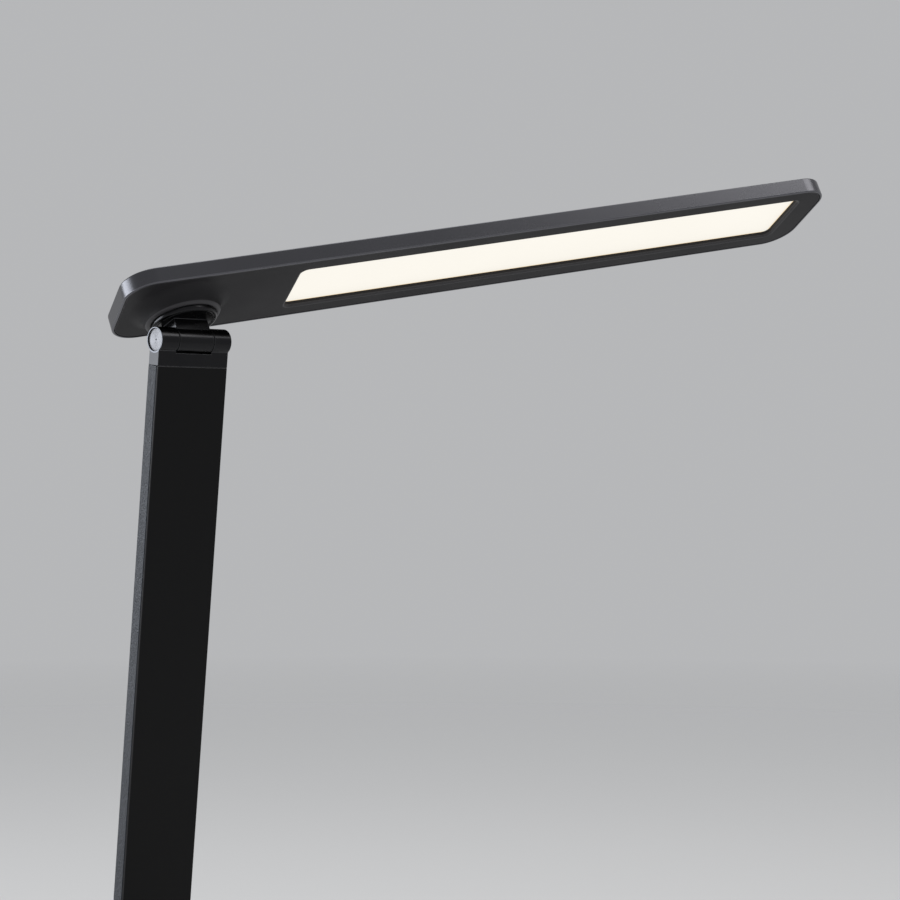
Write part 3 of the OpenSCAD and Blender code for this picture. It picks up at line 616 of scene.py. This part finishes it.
class LampFinish(bpy.types.PropertyGroup):
    """Colours of the finishes, as they render."""

    cover: colour("Underside", "Satin paint of the underside cover", (0.0185, 0.018, 0.0195))
    casing: colour("Casing", "Satin metal of the casing and the base", (0.080, 0.080, 0.088))
    casting: colour("Hinges", "Graphite metal of the hinge castings", (0.0235, 0.0235, 0.025))
    front: colour("Arm front", "Matt front of the arm", (0.0038, 0.0038, 0.0041))
    grained: colour("Arm sides", "Grained coating of the arm's back and sides",
                    (0.040, 0.044, 0.054))
    cap: colour("Caps", "Turned metal of the end caps", (0.075, 0.075, 0.080))
    # lighter than the castings: bare machined metal, partly a painted highlight of the barrels'
    # rims
    bare_face_and_highlight: colour("Barrel ends", "Machined metal of the barrels' end faces", (0.070, 0.072, 0.080))
    glow: colour("Light", "Glow of the lit panel", (1.0, 0.960, 0.872))
    glow_rim: colour("Light rim", "Warmer glow at the panel's rim", (1.0, 0.72, 0.36))
    glow_strength: bpy.props.FloatProperty(
        name="Light strength", description="Strength of the glow", default=0.88, min=0.0
    )
    floor: colour("Floor", "Pale floor of the studio", (0.60, 0.60, 0.60))
    backdrop: colour("Backdrop", "Pale surroundings of the studio", (0.47, 0.475, 0.485))


FINISHES = {}
SMALL_FINISHES = (  # key, name, colour, roughness, metallic, patch, spread, grain, depth, the rest
    ("bright", "zinc_plate", (0.42, 0.42, 0.44), 0.32, 1.0, 0.01, 0.12, 0.0005, 6e-6, {}),
    ("screw", "dark_screw", (0.10, 0.10, 0.11), 0.30, 1.0, 0.004, 0.15, 0.0002, 4e-6, {}),
    ("rubber", "matt_rubber", (0.014, 0.014, 0.014), 0.75, 0.0, 0.02, 0.2, 0.0006, 3e-5, {}),
    ("gloss", "gloss_strip", (0.004, 0.004, 0.005), 0.08, 0.0, 0.03, 0.15, 0.003, 1.5e-6,
     {"gloss_spread": 0.03}),
    ("plastic", "moulded_black", (0.012, 0.012, 0.013), 0.42, 0.0, 0.01, 0.2, 0.0003, 1.2e-5, {}),
    ("white", "white_film", (0.80, 0.80, 0.79), 0.55, 0.0, 0.02, 0.04, 0.0006, 6e-6, {}),
    ("acetal", "black_acetal", (0.012, 0.012, 0.012), 0.38, 0.0, 0.005, 0.1, 0.0003, 6e-6, {}),
    ("acrylic", "clear_acrylic", (0.90, 0.94, 0.96), 0.08, 0.0, 0.05, 0.02, 0.002, 1e-6,
     {"Transmission_Weight": 0.9}),
    ("foam", "black_foam", (0.02, 0.02, 0.02), 0.9, 0.0, 0.01, 0.3, 0.0008, 1.5e-4,
     {"cells": True}),
    ("board", "green_mask", (0.012, 0.085, 0.035), 0.35, 0.0, 0.008, 0.15, 0.0007, 1e-5, {}),
    ("phosphor", "phosphor", (0.80, 0.62, 0.18), 0.5, 0.0, 0.003, 0.1, 0.0003, 1e-5, {}),
    ("aluminium", "mill_aluminium", (0.52, 0.52, 0.53), 0.38, 1.0, 0.02, 0.08, 0.0003, 6e-6,
     {"stretch": (0.1, 1, 1)}),
    ("copper", "copper_film", (0.50, 0.25, 0.11), 0.35, 0.9, 0.01, 0.12, 0.0004, 6e-6, {}),
    ("iron", "cast_iron", (0.035, 0.035, 0.036), 0.62, 0.3, 0.01, 0.25, 0.0012, 1.2e-4, {}),
    ("jacket", "wire_jacket", (0.015, 0.015, 0.015), 0.5, 0.0, 0.01, 0.2, 0.0004, 1.5e-5, {}),
    ("mark", "white_print", (0.70, 0.70, 0.70), 0.45, 0.0, 0.003, 0.05, 0.0002, 3e-6, {}),
)


def look(key):
    """The finish of that name. The first call makes all of them."""
    if not FINISHES:
        make_finishes()
    return FINISHES[key]


def make_finishes():
    """Makes every finish, in the colours of the panel."""
    c = bpy.context.scene.lamp_finish
    arm_turn = (-ARM_LEAN, 0, 0)
    metal = {"metallic": 1.0, "grain": 0.00016, "depth": 0.000003}
    FINISHES.update(
        cover=finish("satin_cover", c.cover, 0.52, patch=0.05, spread=0.07, grain=0.00018,
                     depth=0.000005, speckle=0.006, Specular_IOR_Level=0.14),
        # lighter copy for rounded rows: a painted highlight on the cover's edge, window lip and
        # collar bead
        cover_edge=finish("cover_edge", scaled(c.cover, 2.2), 0.45, patch=0.01, spread=0.1,
                          grain=0.00018, depth=0.000004, Specular_IOR_Level=0.3),
        casing=finish("satin_casing", c.casing, 0.27, patch=0.06, spread=0.06,
                      gloss_spread=0.012, speckle=0.012, **metal),
        # lighter copy: a painted highlight on the casing's rounded lower edge
        casing_edge=finish("casing_edge", scaled(c.casing, 1.6), 0.30, patch=0.01, spread=0.12,
                           **metal),
        casting=finish("graphite_casting", c.casting, 0.24, patch=0.02, spread=0.10,
                       stretch=(0.06, 1, 1), bare_face_and_highlight=c.bare_face_and_highlight, **metal),
        # lighter copy: a painted highlight on the castings' rounded edges
        casting_edge=finish("casting_edge", scaled(c.casting, 1.7), 0.32, patch=0.008, spread=0.2,
                            bare_face_and_highlight=c.bare_face_and_highlight, **metal),
        front=finish("matt_front", c.front, 0.42, patch=0.04, spread=0.08, grain=0.00018,
                     depth=0.000004, stretch=(1, 1, 0.25), turn=arm_turn,
                     Specular_IOR_Level=0.14),
        # much lighter copy: a painted highlight along the front plate's rounded edges
        front_edge=finish("front_edge", scaled(c.front, 9), 0.36, metallic=0.6, patch=0.01,
                          spread=0.15, grain=0.00018, depth=0.000003),
        grained=finish("grained_coat", c.grained, 0.42, metallic=0.4, patch=0.02, spread=0.14,
                       grain=0.00055, depth=0.00022, turn=arm_turn, cells=True),
        # lighter copy: a painted highlight on the channel's rounded edges
        grained_edge=finish("grained_edge", scaled(c.grained, 2.0), 0.36, metallic=0.6,
                            patch=0.01, spread=0.1, grain=0.0005, depth=0.00006,
                            turn=arm_turn, cells=True),
        cap=finish("turned_metal", c.cap, 0.22, metallic=1.0, patch=0.004, spread=0.05,
                   gloss_spread=0.02, grain=0.00025, depth=0.000002, Anisotropic=0.9,
                   Anisotropic_Rotation=0.25),
    )
    for key, name, tint, roughness, metallic, patch, spread, grain, depth, rest in SMALL_FINISHES:
        FINISHES[key] = finish(name, tint, roughness, metallic, patch, spread, grain=grain,
                               depth=depth, **rest)
    tree = FINISHES["cap"].node_tree
    along = add_node(tree, "Tangent", direction_type="UV_MAP", uv_map="turned")
    tree.links.new(along.outputs["Tangent"], tree.nodes["Principled BSDF"].inputs["Tangent"])


def dress(node, material):
    """Gives a carried CAD node its finish."""
    mesh = frame["nodes"][node].data
    mesh.materials.clear()
    mesh.materials.append(material)


def collar_rows(p, drop, plate):
    """Collar profile in (radius, height), from the flare at the plate to the seat's inner end.
    The flare is an arc that starts level with the plate and touches the ring's round section:
    its radius is (a^2 + b^2 - c^2) / (2 (b + c)) for a across, b down and c the bead's radius."""
    centre = np.array([p.ring - p.bead, p.bead - drop])
    across, down = p.flare - centre[0], plate - centre[1]
    flare = (across**2 + down**2 - p.bead**2) / (2 * (down + p.bead))
    bend = np.array([p.flare, plate - flare])
    touch = math.degrees(math.atan2(bend[1] - centre[1], bend[0] - centre[0]))
    end = math.degrees(math.acos(max(-1.0, (p.seat - centre[0]) / p.bead)))
    seat = p.seat_depth - drop
    return np.vstack([
        arc(bend, flare, 90, 180 + touch, FLARE_STEPS),
        arc(centre, p.bead, touch, -end, BEAD_STEPS)[1:],
        [[p.seat, seat], [p.bore, seat]],
    ])


class LAMP_OT_head_casing(bpy.types.Operator):
    """Slim metal casing of the light bar: side band with rounded edges, top and inside"""

    bl_idname = "lamp.head_casing"
    bl_label = "Head casing"

    def execute(self, context):
        p = context.scene.lamp_head
        place = rest_place("head")
        low, high = extent("head_frame", place)
        size, middle = high - low, ((low + high) / 2)[:2]
        path = rounded_path(size[0], size[1], p.corner)
        top, roof = size[2], size[2] - p.roof
        profile = np.vstack([
            [[-p.wall, roof]],
            arc((p.rim - p.wall, p.rim), p.rim, 180, 270),
            arc((-p.edge, p.edge), p.edge, 270, 360),
            arc((-p.top_edge, top - p.top_edge), p.top_edge, 0, 90),
        ])
        made = Surface()
        lower = 2 + ROUND_STEPS
        # the lower edge's round takes the lighter edge finish: a painted highlight along it
        made.grid(carried(profile, path, middle), edges=[(lower, lower + ROUND_STEPS)])
        made.fill(offset_loop(path, -p.top_edge, middle), [], level(top))
        made.fill(offset_loop(path, -p.wall, middle), [], level(roof))
        made.piece("head_casing", place, "head", "grey_metal", "casing", "head_frame", edges=True)
        return {"FINISHED"}


class LAMP_OT_head_underside(bpy.types.Operator):
    """Underside cover: plate with a rounded edge, recessed window and the flared swivel collar"""

    bl_idname = "lamp.head_underside"
    bl_label = "Head underside"

    def execute(self, context):
        p = context.scene.lamp_head
        place = rest_place("head")
        low, high = extent("head_frame", place)
        cover_low, cover_high = extent("head_cover", place)
        panel_low, panel_high = extent("diffuser", place)
        size, middle = high - low, ((low + high) / 2)[:2]
        path = rounded_path(size[0], size[1], p.corner)
        edge, under, top = -p.wall - p.groove, p.sink, p.sink + p.cover
        window_size = panel_high - panel_low - 2 * p.lap
        window_middle = ((panel_low + panel_high) / 2)[:2]
        window = rounded_path(window_size[0], window_size[1], p.window_corner)
        depth, drop = cover_high[2], -cover_low[2]
        made = Surface()
        rim = arc((edge - p.cover_edge, under + p.cover_edge), p.cover_edge, 0, -90)
        side = np.vstack([[[edge, top]], rim])
        # the cover's rounded edge takes the lighter edge finish: a painted highlight
        made.grid(carried(side, path, middle), edges=[(1, 1 + ROUND_STEPS)])
        lip = arc((p.window_lip, under + p.window_lip), p.window_lip, 270, 180)
        wall = [[0, depth], [p.window_wall, depth], [p.window_wall, top]]
        # the window's lip takes the lighter edge finish: a painted highlight
        made.grid(carried(np.vstack([lip, wall]), window, window_middle), edges=[(0, ROUND_STEPS)])
        floor = p.seat_depth + p.floor - drop
        inner = [[p.bore, top], [p.hub, top], [p.hub, floor], [p.hollow, floor], [p.hollow, top]]
        # the collar's bead rows take the lighter edge finish: a painted highlight on the ring's
        # crest
        made.grid(carried(np.vstack([collar_rows(p, drop, under), inner]), round_path()),
                  edges=[(FLARE_STEPS + 2, FLARE_STEPS + BEAD_STEPS)])
        round_loop = round_path()
        made.fill(
            offset_loop(path, edge - p.cover_edge, middle),
            [offset_loop(window, p.window_lip, window_middle), offset_loop(round_loop, p.flare)],
            level(under),
        )
        made.fill(
            offset_loop(path, edge, middle),
            [offset_loop(window, p.window_wall, window_middle), offset_loop(round_loop, p.hollow)],
            level(top),
        )
        made.piece("head_underside", place, "head", "grey_satin", "cover", "head_cover",
                   edges=True)
        return {"FINISHED"}


class LAMP_OT_light_panel(bpy.types.Operator):
    """Lit diffuser and the pieces behind it, with their finishes"""

    bl_idname = "lamp.light_panel"
    bl_label = "Light panel"

    def execute(self, context):
        p, c = context.scene.lamp_head, context.scene.lamp_finish
        origin, axes = rest_place("head")
        low, high = extent("diffuser", (origin, axes))
        middle = (low + high) / 2
        half = (high - low)[:2] / 2 - p.lap
        centre = origin + middle @ axes
        dress("diffuser", glowing("lit_panel", c.glow, c.glow_rim, c.glow_strength,
                                  (centre, axes), half))
        for node, key in {
            "light_guide": "acrylic", "reflector_sheet": "white",
            "foam_pad": "foam", "led_boards": "white", "led_chips": "phosphor",
            "heat_bars": "aluminium", "head_ribbon": "copper", "swivel_plate": "bright",
            "swivel_screws": "screw", "swivel_nut": "bright", "swivel_washer": "bright",
        }.items():
            dress(node, look(key))
        return {"FINISHED"}


class LAMP_OT_hinge_castings(bpy.types.Operator):
    """Forks, tilting bracket and base bracket, with every edge rounded"""

    bl_idname = "lamp.hinge_castings"
    bl_label = "Hinge castings"

    def execute(self, context):
        p = context.scene.lamp_hinge
        for node, name, body in (
            ("arm_neck", "neck_fork", "arm"),
            ("arm_foot", "foot_fork", "arm"),
            ("tilt_bracket", "tilt_casting", "bracket"),
            ("base_bracket", "base_casting", "base"),
        ):
            rounded_copy(node, name, body, "casting", p.casting_edge)
        for end in ("upper", "lower"):
            dress(end + "_hinge_pin", look("bright"))
            dress(end + "_hinge_washers", look("acetal"))
        return {"FINISHED"}


class LAMP_OT_hinge_caps(bpy.types.Operator):
    """Turned end caps: rounded edge, flat rim, dished face with turning marks, centre dimple.
    The dish is as deep as 1 - (radius / cap radius)^2, and the marks are a sine of the radius"""

    bl_idname = "lamp.hinge_caps"
    bl_label = "Hinge caps"

    def execute(self, context):
        p = context.scene.lamp_hinge
        for end, place in (("upper", rest_place("bracket")), ("lower", rest_place("foot"))):
            low, high = extent(end + "_hinge_caps", place)
            face, back = high[0], high[0] + p.cap_sink - p.cap_seat
            inner, outer = p.dimple + DISH_INNER, p.cap - p.cap_rim - DISH_OUTER
            radius = np.linspace(outer, inner, DISH_STEPS)
            marks = p.groove * np.sin(2 * math.pi * radius / p.pitch)
            height = face - p.dish_step - p.dish * (1 - (radius / p.cap)**2) + marks
            bottom = face - p.dish - DIMPLE_STEP
            rows = np.vstack([
                [[p.dimple, back], [p.cap, back]],
                arc((p.cap - p.cap_edge, face - p.cap_edge), p.cap_edge, 0, 90, FINE_STEPS),
                [[p.cap - p.cap_rim, face]],
                np.column_stack([radius, height]),
                arc((0, bottom), p.dimple, 0, -60, FINE_STEPS),
            ])
            made = Surface()
            for side in (1, -1):
                grid = carried(rows, round_path())
                both = np.stack([grid[..., 2] * side, grid[..., 0], grid[..., 1] * side], axis=-1)
                made.grid(both)
                made.pole(both[0])
                made.pole(both[-1])
            name = end + "_turned_caps"
            mesh = made.mesh(name, place)
            lengthwise(mesh, place)
            finished(name, mesh, "arm", look("cap"), (end + "_hinge_caps",))
        return {"FINISHED"}


class LAMP_OT_arm(bpy.types.Operator):
    """Grained channel and smooth front plate of the arm"""

    bl_idname = "lamp.arm"
    bl_label = "Arm"

    def execute(self, context):
        p = context.scene.lamp_hinge
        rounded_copy("arm_channel", "grained_channel", "arm", "grained",
                     p.channel_edge)
        rounded_copy("arm_front_plate", "front_plate", "arm", "front",
                     p.plate_edge)
        dress("arm_lead", look("jacket"))
        return {"FINISHED"}


class LAMP_OT_arm_screws(bpy.types.Operator):
    """Four countersunk screws of the arm: flat head with a six-sided socket, cone and shank.
    Each row is a closed curve round the screw's axis: a circle, or a hexagon, whose radius is
    half its width over the cosine of the angle from the middle of the nearest side"""

    bl_idname = "lamp.arm_screws"
    bl_label = "Arm screws"

    def execute(self, context):
        p = context.scene.lamp_hinge
        place = rest_place("arm")
        low, high = extent("arm_screws", place)
        face, end = high[1], low[1]
        turn = np.arange(HOLE_STEPS) * 2 * math.pi / HOLE_STEPS
        hexagon = p.socket / 2 / np.cos(turn % (math.pi / 3) - math.pi / 6)
        ring = np.ones(HOLE_STEPS)
        radii = np.stack([
            hexagon, hexagon, hexagon + p.screw_edge, ring * (p.screw - p.screw_edge),
            ring * p.screw, ring * p.shank, ring * p.shank,
        ])
        depths = [p.socket_depth, p.screw_edge, 0, 0, p.screw_edge, p.cone, face - end]
        heights = face - np.array(depths)[:, None]
        made = Surface()
        for x in (low[0] + p.screw, high[0] - p.screw):
            for z in (low[2] + p.screw, high[2] - p.screw):
                grid = np.stack([
                    x + radii * np.cos(turn), heights + 0 * radii, z + radii * np.sin(turn),
                ], axis=-1)
                made.grid(grid)
                made.pole(grid[0])
                made.pole(grid[-1])
        made.piece("socket_screws", place, "arm", "screw_steel", "screw", "arm_screws")
        return {"FINISHED"}


class LAMP_OT_base_casing(bpy.types.Operator):
    """Base shell: rounded slab, touch recess, inlet hole and the lower hinge's flared collar"""

    bl_idname = "lamp.base_casing"
    bl_label = "Base casing"

    def execute(self, context):
        p, h = context.scene.lamp_base, context.scene.lamp_head
        place = rest_place("base")
        low, high = corners("base_shell")
        strip_low, strip_high = corners("touch_panel")
        hinge = np.array(JOINTS["arm_fold"]["pos_m"][:2])
        size = high - low
        top, roof, foot = strip_high[2], strip_high[2] - p.top, low[2]
        path = rounded_path(size[0], size[1], p.corner)
        profile = np.vstack([
            [[-p.wall, roof], [-p.wall, foot + p.foot_bevel]],
            [[p.foot_bevel - p.wall, foot]],
            arc((-p.foot_edge, foot + p.foot_edge), p.foot_edge, 270, 360),
            arc((-p.edge, top - p.edge), p.edge, 0, 90),
        ])
        outer_row = 3 + ROUND_STEPS
        back = CORNER_STEPS
        made = Surface()
        made.grid(carried(profile, path), skip=[(0, back), (outer_row, back)])
        hole = np.array([p.inlet_x, p.inlet_z]) + offset_loop(round_path(HOLE_STEPS), p.inlet)
        straight = size[0] / 2 - p.corner
        for y, bottom, ceiling in (
            (size[1] / 2, foot + p.foot_edge, top - p.edge),
            (size[1] / 2 - p.wall, foot + p.foot_bevel, roof),
        ):
            wall = np.array([[-straight, bottom], [straight, bottom], [straight, ceiling],
                             [-straight, ceiling]])
            made.fill(wall, [hole], upright(y))
        tube = np.stack([upright(y)(hole) for y in (size[1] / 2, size[1] / 2 - p.wall)])
        made.grid(tube)
        strip_size = strip_high - strip_low
        strip_middle = ((strip_low + strip_high) / 2)[:2]
        recess = rounded_path(strip_size[0] + 2 * p.touch_gap, strip_size[1] + 2 * p.touch_gap,
                              strip_size[1] / 2 + p.touch_gap, STRIP_STEPS)
        lip = arc((p.lip, top - p.lip), p.lip, 90, 180, LIP_STEPS)
        made.grid(carried(np.vstack([lip, [[0, strip_low[2]]]]), recess, strip_middle))
        made.fill(offset_loop(recess, 0, strip_middle), [], level(strip_low[2]))
        drop = high[2] - top
        collar = collar_rows(h, drop, 0.0)
        collar[-1, 0] = p.wire_way
        seat_floor = top + drop - h.seat_depth - p.top
        collar = np.column_stack([collar[:, 0], top - collar[:, 1]])
        inner = [[p.wire_way, seat_floor], [h.hollow, seat_floor], [h.hollow, roof]]
        made.grid(carried(np.vstack([collar, inner]), round_path(), hinge))
        made.fill(
            offset_loop(path, -p.edge),
            [offset_loop(recess, p.lip, strip_middle), offset_loop(round_path(), h.flare, hinge)],
            level(top),
        )
        made.fill(offset_loop(path, -p.wall), [offset_loop(round_path(), h.hollow, hinge)],
                  level(roof))
        made.piece("base_casing", place, "base", "grey_satin", "casing", "base_shell")
        return {"FINISHED"}


class LAMP_OT_touch_strip(bpy.types.Operator):
    """Glossy touch strip with a rounded edge, and plain printed marks on it"""

    bl_idname = "lamp.touch_strip"
    bl_label = "Touch strip"

    def execute(self, context):
        p = context.scene.lamp_base
        place = rest_place("base")
        low, high = corners("touch_panel")
        size, middle = high - low, ((low + high) / 2)[:2]
        path = rounded_path(size[0], size[1], size[1] / 2 - STRIP_END, STRIP_STEPS)
        rows = np.vstack([
            [[0, low[2]]],
            arc((-p.touch_edge, high[2] - p.touch_edge), p.touch_edge, 0, 90, FINE_STEPS),
        ])
        made = Surface()
        made.grid(carried(rows, path, middle))
        made.fill(offset_loop(path, 0, middle), [], level(low[2]))
        made.fill(offset_loop(path, -p.touch_edge, middle), [], level(high[2]))
        made.piece("touch_strip", place, "base", "gloss_black", "gloss", "touch_panel")
        marks = Surface()
        top, face = high[2], high[2] + p.mark_height
        for x, share, hole in TOUCH_MARKS:
            radius, inner = p.mark * share, max(p.mark * hole, PINHOLE)
            rows = np.array([[inner, top], [radius, top], [radius, face], [inner, face],
                             [inner, top]])
            marks.grid(carried(rows, round_path(MARK_STEPS), middle + [x, 0]))
        marks.piece("touch_marks", place, "base", "white_film", "mark")
        return {"FINISHED"}


class LAMP_OT_base_fittings(bpy.types.Operator):
    """Finishes of the pad, the plate, the inlet and the pieces inside the base"""

    bl_idname = "lamp.base_fittings"
    bl_label = "Base fittings"

    def execute(self, context):
        rounded_copy("power_inlet", "inlet_socket", "base", "plastic",
                     INLET_EDGE)
        for node, key in {
            "base_pad": "rubber", "base_plate": "bright", "base_weight": "iron",
            "base_screws": "bright", "touch_board": "board", "touch_ribbon": "white",
            "power_board": "board", "bracket_screws": "bright", "base_lead": "jacket",
        }.items():
            dress(node, look(key))
        return {"FINISHED"}


class LAMP_OT_stage(bpy.types.Operator):
    """Pale floor, soft lights, pale surroundings and the camera"""

    bl_idname = "lamp.stage"
    bl_label = "Stage"

    def execute(self, context):
        scene, c = context.scene, context.scene.lamp_finish
        hinge = Vector(JOINTS["head_tilt"]["pos_m"])
        camera = bpy.data.objects.new("camera", bpy.data.cameras.new("camera"))
        camera.data.lens = CAMERA_LENS
        camera.data.sensor_width = CAMERA_SENSOR
        camera.location = hinge + Vector(CAMERA_PLACE)
        camera.rotation_euler = (math.radians(90), 0, math.radians(CAMERA_TURN))
        scene.collection.objects.link(camera)
        scene.camera = camera
        for name, spot, width, height, power, tint in SOFTBOXES:
            lamp = bpy.data.lights.new(name, "AREA")
            lamp.shape, lamp.size, lamp.size_y = "RECTANGLE", width, height
            lamp.energy, lamp.color = power, tint
            light = bpy.data.objects.new(name, lamp)
            light.location = spot
            light.visible_camera = False
            aim = hinge + Vector(AIM) - light.location
            light.rotation_euler = aim.to_track_quat("-Z", "Y").to_euler()
            scene.collection.objects.link(light)
        self.floor(context)
        world = bpy.data.worlds.new("studio")
        world.use_nodes = True
        back = world.node_tree.nodes["Background"]
        back.inputs["Color"].default_value = (*c.backdrop, 1)
        back.inputs["Strength"].default_value = 1.0
        scene.world = world
        scene.view_settings.view_transform = "Standard"
        return {"FINISHED"}

    def floor(self, context):
        """Round floor whose far part fades into the surroundings, so that no edge shows."""
        c = context.scene.lamp_finish
        made = Surface()
        grid = carried(np.column_stack([FLOOR_RINGS, 0 * FLOOR_RINGS]), round_path())
        made.grid(grid)
        made.pole(grid[0])
        mesh = made.mesh("floor", (np.zeros(3), np.eye(3)))
        if mesh.polygons[0].normal.z < 0:
            mesh.flip_normals()
        material = finish("studio_floor", c.floor, 0.7, patch=0.8, spread=0.01, grain=0.004,
                          depth=0.00002)
        tree = material.node_tree
        far = add_node(tree, "VectorMath", {0: object_place(tree)}, operation="LENGTH")
        fade = ranged(tree, far.outputs["Value"], 0.0, 1.0, *FLOOR_FADE)
        clear = add_node(tree, "BsdfTransparent").outputs["BSDF"]
        solid = tree.nodes["Principled BSDF"].outputs["BSDF"]
        both = add_node(tree, "MixShader", {"Fac": fade, 1: solid, 2: clear})
        tree.links.new(both.outputs["Shader"], tree.nodes["Material Output"].inputs["Surface"])
        mesh.materials.append(material)
        floor = bpy.data.objects.new("floor", mesh)
        context.scene.collection.objects.link(floor)


STEPS = (
    LAMP_OT_stage, LAMP_OT_head_casing, LAMP_OT_head_underside, LAMP_OT_light_panel,
    LAMP_OT_hinge_castings, LAMP_OT_hinge_caps, LAMP_OT_arm, LAMP_OT_arm_screws,
    LAMP_OT_base_casing, LAMP_OT_touch_strip, LAMP_OT_base_fittings,
)
GROUPS = (
    ("lamp_head", LampHead), ("lamp_hinge", LampHinge), ("lamp_base", LampBase),
    ("lamp_finish", LampFinish),
)


class LAMP_PT_pieces(bpy.types.Panel):
    """Lists the lamp's sizes, colours and pieces"""

    bl_idname = "LAMP_PT_pieces"
    bl_label = "Desk lamp"
    bl_space_type = "VIEW_3D"
    bl_region_type = "UI"
    bl_category = "Lamp"

    def draw(self, context):
        for name, group in GROUPS:
            box = self.layout.box()
            box.label(text=group.__doc__)
            for key in group.__annotations__:
                box.prop(getattr(context.scene, name), key)
        for step in STEPS:
            self.layout.operator(step.bl_idname)


CLASSES = (*(group for _, group in GROUPS), *STEPS, LAMP_PT_pieces)


def register():
    for made in CLASSES:
        bpy.utils.register_class(made)
    for name, group in GROUPS:
        setattr(bpy.types.Scene, name, bpy.props.PointerProperty(type=group))


def unregister():
    for name, _ in GROUPS:
        delattr(bpy.types.Scene, name)
    for made in reversed(CLASSES):
        bpy.utils.unregister_class(made)


def main():
    """Registers the classes and builds every piece in order."""
    register()
    for step in STEPS:
        getattr(bpy.ops.lamp, step.bl_idname.split(".")[1])()


if __name__ == "__main__":
    main()
